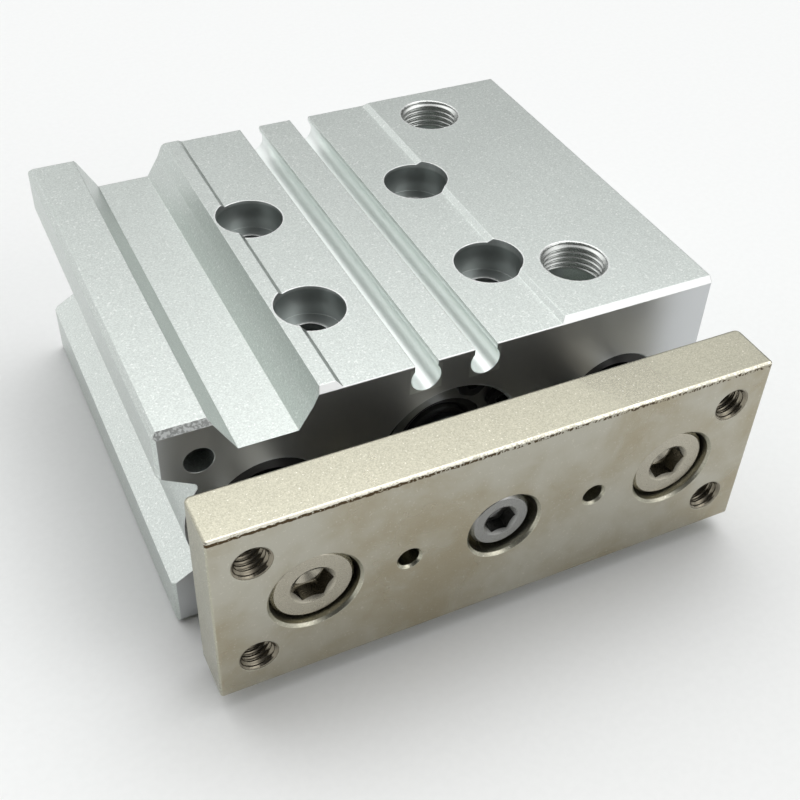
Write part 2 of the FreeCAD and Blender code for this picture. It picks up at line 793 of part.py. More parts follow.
def build_retaining_ring(name, y, turn_angle):
    """Internal retaining ring: an eccentric band, two lugs with plier eyes, and a gap."""
    outer = S.cover_seat_radius + S.ring_groove_depth - S.seat_clearance
    inner = outer - S.ring_band - S.ring_eccentricity
    lug_bottom = outer - S.ring_lug_reach
    half_lug = S.ring_lug_width / 2
    eye_centre = lug_bottom + half_lug
    body = new_body(name, 0.0, y, axis_height)
    body.Placement.Rotation = FreeCAD.Rotation(FreeCAD.Vector(0, 1, 0), turn_angle.value)
    bind(body, "Placement.Rotation.Angle", turn_angle)
    sketch = new_sketch(body, f"{name}_band_circles", "XZ_Plane")
    draw_circle(sketch, 0.0, 0.0, outer)
    draw_circle(sketch, 0.0, S.ring_eccentricity, inner)
    extrude(body, "Pad", f"{name}_band", sketch, S.ring_thickness, True)
    angle = arcsine(S.ring_lug_offset / eye_centre)
    for side, label in ((-1, "left"), (1, "right")):
        across, up = side * sine(angle), cosine(angle)
        sketch = new_sketch(body, f"{name}_{label}_lug_outline", "XZ_Plane")
        reach = outer - S.ring_band / 2
        corners = [(lug_bottom, -half_lug), (reach, -half_lug), (reach, half_lug),
                   (lug_bottom, half_lug)]
        draw_polygon(sketch, [(across * along + up * offset, up * along - across * offset)
                              for along, offset in corners])
        extrude(body, "Pad", f"{name}_{label}_lug", sketch, S.ring_thickness, True)
        sketch = new_sketch(body, f"{name}_{label}_eye_circle", "XZ_Plane")
        draw_circle(sketch, across * eye_centre, up * eye_centre, S.ring_eye_radius)
        extrude(body, "Pocket", f"{name}_{label}_eye", sketch)
    sketch = new_sketch(body, f"{name}_gap_outline", "XZ_Plane")
    half_gap, low, top = S.ring_gap / 2, lug_bottom - OVERRUN, outer + OVERRUN
    draw_polygon(sketch, [(-half_gap, low), (half_gap, low), (half_gap, top), (-half_gap, top)])
    gap = extrude(body, "Pocket", f"{name}_gap", sketch)
    corner_distance = math.hypot(lug_bottom.value, half_lug.value)
    from_band_centre = half_lug + S.ring_eccentricity * sine(angle)
    free_side = (root(inner * inner - from_band_centre * from_band_centre)
                 + S.ring_eccentricity * cosine(angle) - lug_bottom)

    def at_lug_end(edge, middle):
        inside = math.hypot(middle.x, middle.z) < corner_distance + TINY
        return inside and abs(edge.Length - S.ring_thickness.value) < TINY
    dress_edges(body, "Fillet", f"{name}_lug_corners", gap, "Radius",
                least(S.ring_lug_corner, free_side - CORNER_MARGIN), at_lug_end)


# ---------------------------------------------------------------- bushes and wipers

def build_guides(side, x):
    """Both bushes, the felt ring and its holder of one guide bore."""
    rod_gap = S.guide_rod_radius + S.running_clearance
    front = body_front + felt_recess_depth
    felt_front = body_front + S.holder_setback + S.holder_thickness
    wiper_outer = felt_recess - S.seat_clearance
    ring_part(f"guide_bush_front_{side}", rod_gap, bush_outer, bush_length, x, front)
    ring_part(f"guide_bush_rear_{side}", rod_gap, bush_outer, bush_length, x,
              body_front + rear_bush_end - bush_length)
    ring_part(f"felt_ring_{side}", rod_gap, wiper_outer, S.felt_thickness, x, felt_front)
    ring_part(f"felt_holder_{side}", S.guide_rod_radius + S.holder_bore_gap, wiper_outer,
              S.holder_thickness, x, body_front + S.holder_setback)


# ---------------------------------------------------------------- port plugs

def build_port_plug(name, y):
    """Plug with a hexagon socket, screwed into a side port."""
    outer = S.port_radius - S.seat_clearance
    chamfer = S.hole_chamfer
    body = new_body(name, half_width - S.plug_setback, body_front + y, S.side_port_height)
    sketch = new_sketch(body, f"{name}_profile", "XY_Plane")
    draw_polygon(sketch, [(-S.plug_length, 0.0), (0.0, 0.0), (0.0, outer - chamfer),
                          (-chamfer, outer), (-S.plug_length, outer)])
    turn(body, "Revolution", f"{name}_turned", sketch, "H_Axis")
    sketch = new_sketch(body, f"{name}_socket_outline", "YZ_Plane")
    draw_hexagon(sketch, S.plug_hex)
    extrude(body, "Pocket", f"{name}_socket", sketch, S.plug_hex_depth)


# ---------------------------------------------------------------- piston, its rings and its rod

def build_piston():
    """Piston with its seal, magnet and wear ring grooves, and a seat for the riveted rod."""
    outer = S.bore_radius - S.piston_clearance
    land = S.piston_land
    seal_start = land
    magnet_start = seal_start + S.seal_groove_width + land
    wear_start = magnet_start + S.magnet_width + land
    rings = [("piston_seal", seal_start, S.seal_groove_width, S.seal_groove_depth),
             ("magnet_ring", magnet_start, S.magnet_width, S.magnet_depth),
             ("wear_ring", wear_start, S.wear_ring_width, S.wear_ring_depth)]
    profile = [(S.spigot_radius + S.seat_clearance, 0.0), (outer, 0.0)]
    for name, start, width, depth in rings:
        floor = outer - depth
        profile += [(outer, start), (floor, start), (floor, start + width), (outer, start + width)]
        gap = S.seat_clearance
        ring_part(name, floor + gap, outer, width - 2 * gap, 0.0,
                  body_front + piston_front + start + gap)
    size = S.piston_length
    rivet_radius = S.rivet_radius + S.seat_clearance
    profile += [(outer, size), (rivet_radius, size), (rivet_radius, size - S.rivet_depth),
                (S.spigot_radius + S.seat_clearance, size - S.rivet_depth)]
    turned_part("piston", profile, 0.0, body_front + piston_front)


def build_piston_rod():
    """Piston rod: tapped at the plate end, shouldered and riveted at the piston."""
    shoulder = piston_front + S.plate_gap
    end = shoulder + S.piston_length
    tapped, chamfer = S.centre_screw_radius, S.rod_chamfer / 2
    turned_part("piston_rod", [
        (tapped, 0.0), (S.piston_rod_radius - chamfer, 0.0), (S.piston_rod_radius, chamfer),
        (S.piston_rod_radius, shoulder), (S.spigot_radius, shoulder),
        (S.spigot_radius, end - S.rivet_depth), (S.rivet_radius, end - S.rivet_depth),
        (S.rivet_radius, end - chamfer), (S.rivet_radius - chamfer, end), (0.0, end),
        (0.0, S.tapped_depth), (tapped, S.tapped_depth),
    ], 0.0, plate_back)


def build_guide_rod(name, x):
    """Guide rod, tapped at the plate end and bevelled at the far end."""
    size = guide_rod_end + S.plate_gap
    tapped, chamfer = S.guide_screw_radius, S.rod_chamfer
    radius = S.guide_rod_radius
    turned_part(name, [
        (tapped, 0.0), (radius - chamfer / 2, 0.0), (radius, chamfer / 2),
        (radius, size - chamfer), (radius - chamfer, size), (0.0, size),
        (0.0, S.tapped_depth), (tapped, S.tapped_depth),
    ], x, plate_back)


# ---------------------------------------------------------------- tool plate and its screws

def build_tool_plate():
    """Tool plate with sunk screw holes, corner threads and two pin holes."""
    body = new_body("tool_plate", 0.0, plate_front, axis_height)
    half_x, half_z = plate_half_width, S.plate_height / 2
    sketch = new_sketch(body, "plate_outline", "XZ_Plane")
    draw_polygon(sketch, [(-half_x, -half_z), (half_x, -half_z), (half_x, half_z),
                          (-half_x, half_z)])
    blank = extrude(body, "Pad", "plate_blank", sketch, S.plate_thickness, True)

    def at_back_end(edge, middle):
        return middle.y > S.plate_thickness.value - TINY and abs(middle.z) < TINY

    def on_outline(edge, middle):
        return middle.y < TINY or abs(abs(middle.z) - half_z.value) < TINY
    rounded = dress_edges(body, "Fillet", "plate_back_ends", blank, "Radius",
                          S.plate_back_radius, at_back_end)
    dress_edges(body, "Fillet", "plate_edges", rounded, "Radius", S.plate_edge_radius, on_outline)

    sink_depth = S.screw_sink + S.screw_head_height
    gap = S.screw_hole_gap
    holes = [("centre", 0.0, 0.0, S.centre_screw_radius + gap, S.centre_sink_radius)]
    holes += [(name, x, 0.0, S.guide_screw_radius + gap, S.guide_sink_radius)
              for name, x in (("left", -guide_x), ("right", guide_x))]
    for name, x, z, hole, sink in holes:
        chamfer = S.sink_chamfer
        cut_plate_hole(body, f"{name}_screw_hole", x, z, [
            (0.0, 0.0), (sink + chamfer, 0.0), (sink, chamfer), (sink, sink_depth),
            (hole, sink_depth), (hole, S.plate_thickness), (0.0, S.plate_thickness)])
    half_x, half_z = plate_half_width - S.plate_hole_inset, S.plate_hole_spacing_z / 2
    for column, side in (("left", -1), ("right", 1)):
        for row, level in (("lower", -1), ("upper", 1)):
            cut_plate_hole(body, f"{row}_{column}_thread", side * half_x, level * half_z,
                           straight_hole(S.plate_thread_radius, S.hole_chamfer))
        cut_plate_hole(body, f"{column}_pin_hole", side * S.pin_hole_spacing / 2, 0.0,
                       straight_hole(S.pin_hole_radius, S.pin_hole_chamfer))


def straight_hole(radius, chamfer):
    """Profile of a hole right through the plate, bevelled at both faces."""
    end = S.plate_thickness
    return [(0.0, 0.0), (radius + chamfer, 0.0), (radius, chamfer), (radius, end - chamfer),
            (radius + chamfer, end), (0.0, end)]


def cut_plate_hole(body, name, x, z, profile):
    """Cut one turned hole of the plate, about a line along Y."""
    sketch = new_sketch(body, f"{name}_profile", "XY_Plane", x=x, z=z)
    draw_polygon(sketch, profile)
    turn(body, "Groove", name, sketch)


def build_screw(name, x, radius, head_radius, hexagon):
    """Socket head screw that holds a rod to the plate; its head lies below the plate's face."""
    chamfer = S.screw_head_chamfer
    head = S.screw_head_height
    tip = S.plate_thickness - S.screw_sink + S.screw_reach
    shank = radius - S.seat_clearance
    body = turned_part(name, [
        (0.0, 0.0), (head_radius - chamfer, 0.0), (head_radius, chamfer), (head_radius, head),
        (shank, head), (shank, tip - chamfer), (shank - chamfer, tip), (0.0, tip),
    ], x, plate_front + S.screw_sink)
    mouth, pilot = hexagon_corner(hexagon) + S.socket_bevel, hexagon / 2 - S.socket_ledge
    sketch = new_sketch(body, f"{name}_pilot_profile", "XY_Plane")
    draw_polygon(sketch, [
        (0.0, 0.0), (mouth, 0.0), (pilot, (mouth - pilot) * S.drill_slope), (pilot, S.hex_depth),
        (0.0, S.hex_depth + pilot * S.drill_slope)])
    turn(body, "Groove", f"{name}_pilot", sketch)
    sketch = new_sketch(body, f"{name}_socket_outline", "XZ_Plane")
    draw_hexagon(sketch, hexagon)
    extrude(body, "Pocket", f"{name}_socket", sketch, S.hex_depth)


# ---------------------------------------------------------------- build, check and export

def build_all():
    build_cylinder_body()
    build_rod_collar()
    build_rod_seal()
    build_head_cover()
    build_retaining_ring("front_retaining_ring", body_front + S.ring_offset, S.ring_gap_angle)
    build_retaining_ring("rear_retaining_ring", body_back - cover_face, -S.ring_gap_angle)
    bumper = S.cover_nose_radius
    ring_part("rod_bumper", S.bumper_inner_radius, bumper, S.bumper_thickness, 0.0,
              body_front + collar_face)
    ring_part("head_bumper", S.bumper_inner_radius, bumper, S.bumper_thickness, 0.0,
              body_front + head_face - S.bumper_thickness)
    for side, x in (("left", -guide_x), ("right", guide_x)):
        build_guides(side, x)
        build_guide_rod(f"guide_rod_{side}", x)
        build_screw(f"guide_screw_{side}", x, S.guide_screw_radius, S.guide_head_radius,
                    S.guide_hex)
    for end, y in port_rows():
        build_port_plug(f"{end}_port_plug", y)
    build_piston()
    build_piston_rod()
    build_tool_plate()
    build_screw("centre_screw", 0.0, S.centre_screw_radius, S.centre_head_radius, S.centre_hex)
    doc.recompute()


def sub_parts():
    """The bodies and primitives that stand for one piece each."""
    return [item for item in doc.Objects
            if item.isDerivedFrom("PartDesign::Body") or item.TypeId == "Part::Torus"]


def check_document():
    """Stop when any object of the document failed, or a piece has no sound solid."""
    for item in doc.Objects:
        if {"Invalid", "Error"} & set(item.State):
            raise ValueError(f"{item.Name} failed: {item.State}")
    for part in sub_parts():
        shape = part.Shape
        if shape.isNull() or not shape.isValid() or len(shape.Solids) != 1:
            raise ValueError(f"{part.Label} is not one sound solid")


def export_parts():
    os.makedirs("parts", exist_ok=True)
    for part in sub_parts():
        part.Shape.exportStep(f"parts/{part.Label}.step")
    print(f"{len(sub_parts())} parts written")


build_all()
check_document()
export_parts()
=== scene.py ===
"""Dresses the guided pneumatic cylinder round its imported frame, and lights it in a small studio."""

import logging
import math
from dataclasses import dataclass
from enum import Enum
from functools import partial, reduce
from typing import Dict, List, Optional, Sequence, Tuple, Union

import bpy
import numpy as np
from mathutils import Matrix, Vector


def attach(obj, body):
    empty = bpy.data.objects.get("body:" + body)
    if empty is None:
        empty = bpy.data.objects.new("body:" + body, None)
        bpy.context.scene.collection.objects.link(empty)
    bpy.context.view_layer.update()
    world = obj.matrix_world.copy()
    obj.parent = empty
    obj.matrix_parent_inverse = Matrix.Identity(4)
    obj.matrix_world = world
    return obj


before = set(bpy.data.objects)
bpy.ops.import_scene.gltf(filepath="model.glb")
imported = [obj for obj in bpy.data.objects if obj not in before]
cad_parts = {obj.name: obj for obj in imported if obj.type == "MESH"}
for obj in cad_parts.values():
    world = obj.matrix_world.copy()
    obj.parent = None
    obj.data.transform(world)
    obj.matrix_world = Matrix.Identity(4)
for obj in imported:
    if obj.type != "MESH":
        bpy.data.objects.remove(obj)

LOG = logging.getLogger("cylinder")
MM = 0.001
BARREL = "barrel"
CARRIAGE = "carriage"

Colour = Tuple[float, float, float]
Point = Tuple[float, float, float]
Span = Tuple[float, float]
Band = Tuple[float, float, float, float]
Tree = bpy.types.NodeTree
Material = bpy.types.Material
Ports = bpy.types.bpy_prop_collection   # a node's inputs or outputs, by name
Output = bpy.types.NodeSocket   # one output of a node
Input = Union[Output, float, Tuple[float, ...]]

SIDES = (("left", -1.0), ("right", 1.0))
GRAIN_TONES: Span = (0.3, 0.7)   # where most of a fine noise lies
CLOUD_TONES: Span = (0.2, 0.8)   # the same for the slow cloud
HALFWAY: Band = (0.60, 0.66, 0.76, 0.82)   # a part of a normal that leans by about 45 degrees


class Axis(Enum):
    """The way a round feature points: the frame's own three axes."""

    X = 0
    Y = 1
    Z = 2


def shade(colour: Colour, share: float, lift: float = 0.0) -> Colour:
    """A colour times a share, raised by a lift and held at 1."""
    return tuple(min(1.0, channel * share + lift) for channel in colour)


def tint(colour: Colour, shares: Colour) -> Colour:
    """A colour times a share for each of its channels."""
    return tuple(channel * share for channel, share in zip(colour, shares))


def shifted(offsets: Sequence[float], start: float) -> Tuple[float, ...]:
    """Places given by their offsets from a start."""
    return tuple(start + offset for offset in offsets)


# Node graphs.


class Graph:
    """Wires one node tree: most methods add nodes and give back the output that is wanted."""

    def __init__(self, tree: Tree) -> None:
        """Starts on an empty tree.

        Args:
            tree: the material's or the group's node tree.
        """
        self.tree = tree
        tree.nodes.clear()

    def node(self, kind: str, **settings: object) -> bpy.types.Node:
        """Adds a node and sets its plain properties.

        Args:
            kind: the node type, without the ShaderNode prefix.
            settings: properties of the node.

        Returns:
            The new node.
        """
        made = self.tree.nodes.new(kind if kind.startswith("Node") else "ShaderNode" + kind)
        for name, value in settings.items():
            setattr(made, name, value)
        return made

    def feed(self, socket: bpy.types.NodeSocket, value: Input) -> None:
        """Links an output to a socket, or writes a constant on it.

        Args:
            socket: the input to fill.
            value: an output socket, a number, or a tuple for a colour or vector.
        """
        if isinstance(value, Output):
            self.tree.links.new(value, socket)
        elif isinstance(value, tuple) and len(value) == 3 and socket.type == "RGBA":
            socket.default_value = (*value, 1.0)
        else:
            socket.default_value = value

    def add(self, kind: str, values: Dict[Union[int, str], Input], output: Union[int, str] = 0,
            **settings: object) -> Output:
        """Adds a node and fills some of its inputs.

        Args:
            kind: the node type, without the ShaderNode prefix.
            values: what its inputs get, by number or name.
            output: the output that is wanted, by number or name.
            settings: properties of the node.

        Returns:
            The output.
        """
        made = self.node(kind, **settings)
        for name, value in values.items():
            self.feed(made.inputs[name], value)
        return made.outputs[output]

    def math(self, operation: str, *values: Input, clamp: bool = False) -> Output:
        """Works out a number from one, two or three others; clamp holds it from 0 to 1."""
        return self.add("Math", dict(enumerate(values)), operation=operation, use_clamp=clamp)

    def times(self, *values: Input) -> Output:
        """Multiplies numbers, one after the other."""
        return reduce(partial(self.math, "MULTIPLY"), values)

    def dot(self, first: Input, second: Input) -> Output:
        """The dot product of two vectors."""
        return self.add("VectorMath", {0: first, 1: second}, "Value", operation="DOT_PRODUCT")

    def split(self, vector: Input) -> Tuple[Output, ...]:
        """A vector's x, y and z."""
        return tuple(self.add("SeparateXYZ", {0: vector}).node.outputs)

    def join(self, x: Input, y: Input, z: Input = 0.0) -> Output:
        """The vector of an x, a y and a z."""
        return self.add("CombineXYZ", {0: x, 1: y, 2: z})

    def from_axis(self, vector: Input) -> Output:
        """How far a vector's end is from the z axis: the length of its x and y."""
        x, y, _ = self.split(vector)
        return self.add("VectorMath", {0: self.join(x, y)}, "Value", operation="LENGTH")

    def remap(self, value: Input, low: float, high: float, to_low: Input = 0.0,
              to_high: Input = 1.0) -> Output:
        """Maps low..high to to_low..to_high, eased and held at both ends.

        Args:
            value: what is mapped.
            low: where the ramp starts.
            high: where it ends.
            to_low: the result at the start.
            to_high: the result at the end.

        Returns:
            The mapped value.
        """
        return self.add("MapRange", {"Value": value, "From Min": low, "From Max": high,
                                     "To Min": to_low, "To Max": to_high},
                        clamp=True, interpolation_type="SMOOTHSTEP")

    def band(self, value: Input, start: float, full: float, last: float, end: float) -> Output:
        """Rises from 0 at start to 1 at full, and falls from 1 at last to 0 at end."""
        return self.times(self.remap(value, start, full), self.remap(value, last, end, 1.0, 0.0))

    def mix(self, share: Input, first: Input, second: Input) -> Output:
        """Blends two colours.

        Args:
            share: how much of the second shows.
            first: the colour at 0.
            second: the colour at 1.

        Returns:
            The blended colour.
        """
        made = self.node("Mix", data_type="RGBA", clamp_factor=True)
        ports = [port for port in made.inputs if port.enabled]
        for socket, value in zip(ports, (share, first, second)):
            self.feed(socket, value)
        return next(port for port in made.outputs if port.enabled)

    def noise(self, vector: Input, scale: Input, detail: float = 2.0, roughness: float = 0.5,
              distortion: float = 0.0) -> Output:
        """Adds fractal noise.

        Args:
            vector: where it is read.
            scale: its bumps a metre.
            detail: how many finer layers it has.
            roughness: how strong the finer layers are.
            distortion: how far it is swirled.

        Returns:
            The noise, from 0 to 1.
        """
        return self.add("TexNoise", {"Vector": vector, "Scale": scale, "Detail": detail,
                                     "Roughness": roughness, "Distortion": distortion}, "Fac")

    def place(self, at: Point = (0, 0, 0), stretch: Point = (1, 1, 1)) -> Output:
        """Object coordinates moved so that a point is their origin, then stretched.

        Args:
            at: the point, in metres.
            stretch: how much each axis is scaled.

        Returns:
            The placed coordinates.
        """
        return self.add("Mapping", {"Vector": self.add("TexCoord", {}, "Object"),
                                    "Location": tuple(-a * s for a, s in zip(at, stretch)),
                                    "Scale": stretch})

    def facing(self) -> Tuple[Output, ...]:
        """The sizes of the three parts of the object's own normal."""
        parts = self.split(self.add("TexCoord", {}, "Normal"))
        return tuple(self.math("ABSOLUTE", part) for part in parts)

    def group(self, tree: Tree, **values: Input) -> Ports:
        """Places a node group, fills its inputs by name and gives back its outputs."""
        return self.add("Group", values, node_tree=tree).node.outputs

    def bump(self, height: Input, distance: float, strength: float, normal: Output) -> Output:
        """Lays a height from 0 to 1, which measures distance at 1, on a normal."""
        return self.add("Bump", {"Height": height, "Distance": distance, "Strength": strength,
                                 "Normal": normal})


def open_group(name: str, inputs: Dict[str, float], vectors: Sequence[str],
               outputs: Dict[str, str]) -> Tuple[Tree, Graph, Dict, Dict]:
    """Starts a shader node group with named sockets.

    Args:
        name: the group's name.
        inputs: number inputs and their defaults.
        vectors: vector inputs.
        outputs: outputs and their socket types, such as Float or Vector.

    Returns:
        The group, a graph on it, its inputs by name, and its output node's sockets by name.
    """
    tree = bpy.data.node_groups.new(name, "ShaderNodeTree")
    graph = Graph(tree)
    for label in vectors:
        tree.interface.new_socket(label, in_out="INPUT", socket_type="NodeSocketVector")
    for label, default in inputs.items():
        socket = tree.interface.new_socket(label, in_out="INPUT", socket_type="NodeSocketFloat")
        socket.default_value = default
    for label, kind in outputs.items():
        tree.interface.new_socket(label, in_out="OUTPUT", socket_type="NodeSocket" + kind)
    entry = graph.node("NodeGroupInput")
    leave = graph.node("NodeGroupOutput")
    return tree, graph, {s.name: s for s in entry.outputs}, {s.name: s for s in leave.inputs}


@dataclass(frozen=True)
class Effects:
    """The node groups that several finishes share."""

    grain: Tree
    cloud: Tree
    edge: Tree
    rings: Tree
    rim: Tree


def build_grain() -> Tree:
    """Blasted or anodised grain: a fine height, and a sparse mask of specks on which glints are
    painted.

    Returns:
        The group.
    """
    coarser, sharpness = 0.6, 14.0
    tree, graph, given, out = open_group("fine_grain", {"Scale": 6000.0, "Sparse": 0.66},
                                         ["Vector"], {"Height": "Float", "Specks": "Float"})
    fine = graph.noise(given["Vector"], given["Scale"], detail=3.0, roughness=0.65)
    loose = graph.noise(given["Vector"], graph.times(given["Scale"], coarser), detail=1.0)
    over = graph.math("SUBTRACT", loose, given["Sparse"])
    graph.feed(out["Height"], fine)
    graph.feed(out["Specks"], graph.math("MULTIPLY", over, sharpness, clamp=True))
    return tree


def build_cloud() -> Tree:
    """Slow cloudiness of a plated or handled face, from 0 to 1.

    Returns:
        The group.
    """
    middle = 0.5
    tree, graph, given, out = open_group("slow_cloud", {"Scale": 90.0, "Contrast": 1.0},
                                         ["Vector"], {"Value": "Float"})
    broad = graph.noise(given["Vector"], given["Scale"], detail=4.0, roughness=0.55,
                        distortion=0.4)
    centred = graph.math("SUBTRACT", broad, middle)
    graph.feed(out["Value"], graph.math("MULTIPLY_ADD", centred, given["Contrast"], middle,
                                        clamp=True))
    return tree


def build_edge() -> Tree:
    """A broken edge: its rounded normal, and a mask that is 1 on the edge itself.

    Returns:
        The group.
    """
    tree, graph, given, out = open_group("broken_edge", {"Radius": 0.2 * MM, "Gain": 3.0}, [],
                                         {"Mask": "Float", "Normal": "Vector"})
    rounded = graph.add("Bevel", {"Radius": given["Radius"]}, samples=6)
    same = graph.dot(rounded, graph.add("NewGeometry", {}, "Normal"))
    turned = graph.math("SUBTRACT", 1.0, same)
    graph.feed(out["Mask"], graph.math("MULTIPLY", turned, given["Gain"], clamp=True))
    graph.feed(out["Normal"], rounded)
    return tree


def build_rings() -> Tree:
    """Turning marks: a height in fine rings round the z axis of the given vector.

    The height is half the sine of the distance from the axis over the pitch, in full turns, with
    a noise that makes the rings waver, plus a half.

    Returns:
        The group.
    """
    waver_scale, waver_turns = 900.0, 2.0
    tree, graph, given, out = open_group("turning_marks", {"Pitch": 0.12 * MM}, ["Vector"],
                                         {"Height": "Float", "Distance": "Float"})
    away = graph.from_axis(given["Vector"])
    waver = graph.times(graph.noise(given["Vector"], waver_scale), waver_turns)
    phase = graph.math("ADD", graph.math("DIVIDE", away, given["Pitch"]), waver)
    wave = graph.math("SINE", graph.times(phase, math.tau))
    graph.feed(out["Height"], graph.math("MULTIPLY_ADD", wave, 0.5, 0.5))
    graph.feed(out["Distance"], away)
    return tree


def build_rim() -> Tree:
    """A hole along z: a ragged band that is 1 on its rim, and a mask of its inside.

    Returns:
        The group.
    """
    inside_fade, ragged_scale, ragged_share, reach = 0.04 * MM, 2500.0, 0.8, 1.4
    tree, graph, given, out = open_group("rim_band", {"Radius": 5.0 * MM, "Width": 0.2 * MM},
                                         ["Vector"], {"Mask": "Float", "Inside": "Float"})
    beyond = graph.math("SUBTRACT", graph.from_axis(given["Vector"]), given["Radius"])
    graph.feed(out["Inside"], graph.remap(beyond, 0.0, inside_fade, 1.0, 0.0))
    off = graph.math("DIVIDE", graph.math("ABSOLUTE", beyond), given["Width"])
    ragged = graph.times(graph.noise(given["Vector"], ragged_scale), ragged_share)
    graph.feed(out["Mask"], graph.math("SUBTRACT", reach, graph.math("ADD", off, ragged),
                                       clamp=True))
    return tree


def build_effects() -> Effects:
    """Builds every shared group once."""
    return Effects(build_grain(), build_cloud(), build_edge(), build_rings(), build_rim())


# Finishes.


def start_material(name: str) -> Tuple[Material, Graph, Ports]:
    """A new material with an empty tree but for its shader and output.

    Args:
        name: the material's name.

    Returns:
        The material, a graph on it, and the inputs of its Principled shader.
    """
    material = bpy.data.materials.new(name)
    material.use_nodes = True
    graph = Graph(material.node_tree)
    shader = graph.add("BsdfPrincipled", {})
    graph.feed(graph.node("OutputMaterial").inputs["Surface"], shader)
    return material, graph, shader.node.inputs


@dataclass(frozen=True)
class HoleSet:
    """Holes along z, half a spacing before and behind a middle; mirrored adds a second column."""

    column: float
    middle: float
    half: float
    mirrored: bool

    def across(self, graph: Graph, x: Output, y: Output) -> Output:
        """The way across from the nearest hole's axis, folded into one quarter.

        Args:
            graph: the material's graph.
            x: the object's x.
            y: the object's y.

        Returns:
            The vector across the hole.
        """
        side = graph.math("ABSOLUTE", x) if self.mirrored else x
        along = graph.math("ABSOLUTE", graph.math("SUBTRACT", y, self.middle))
        return graph.join(graph.math("SUBTRACT", side, self.column),
                          graph.math("SUBTRACT", along, self.half))


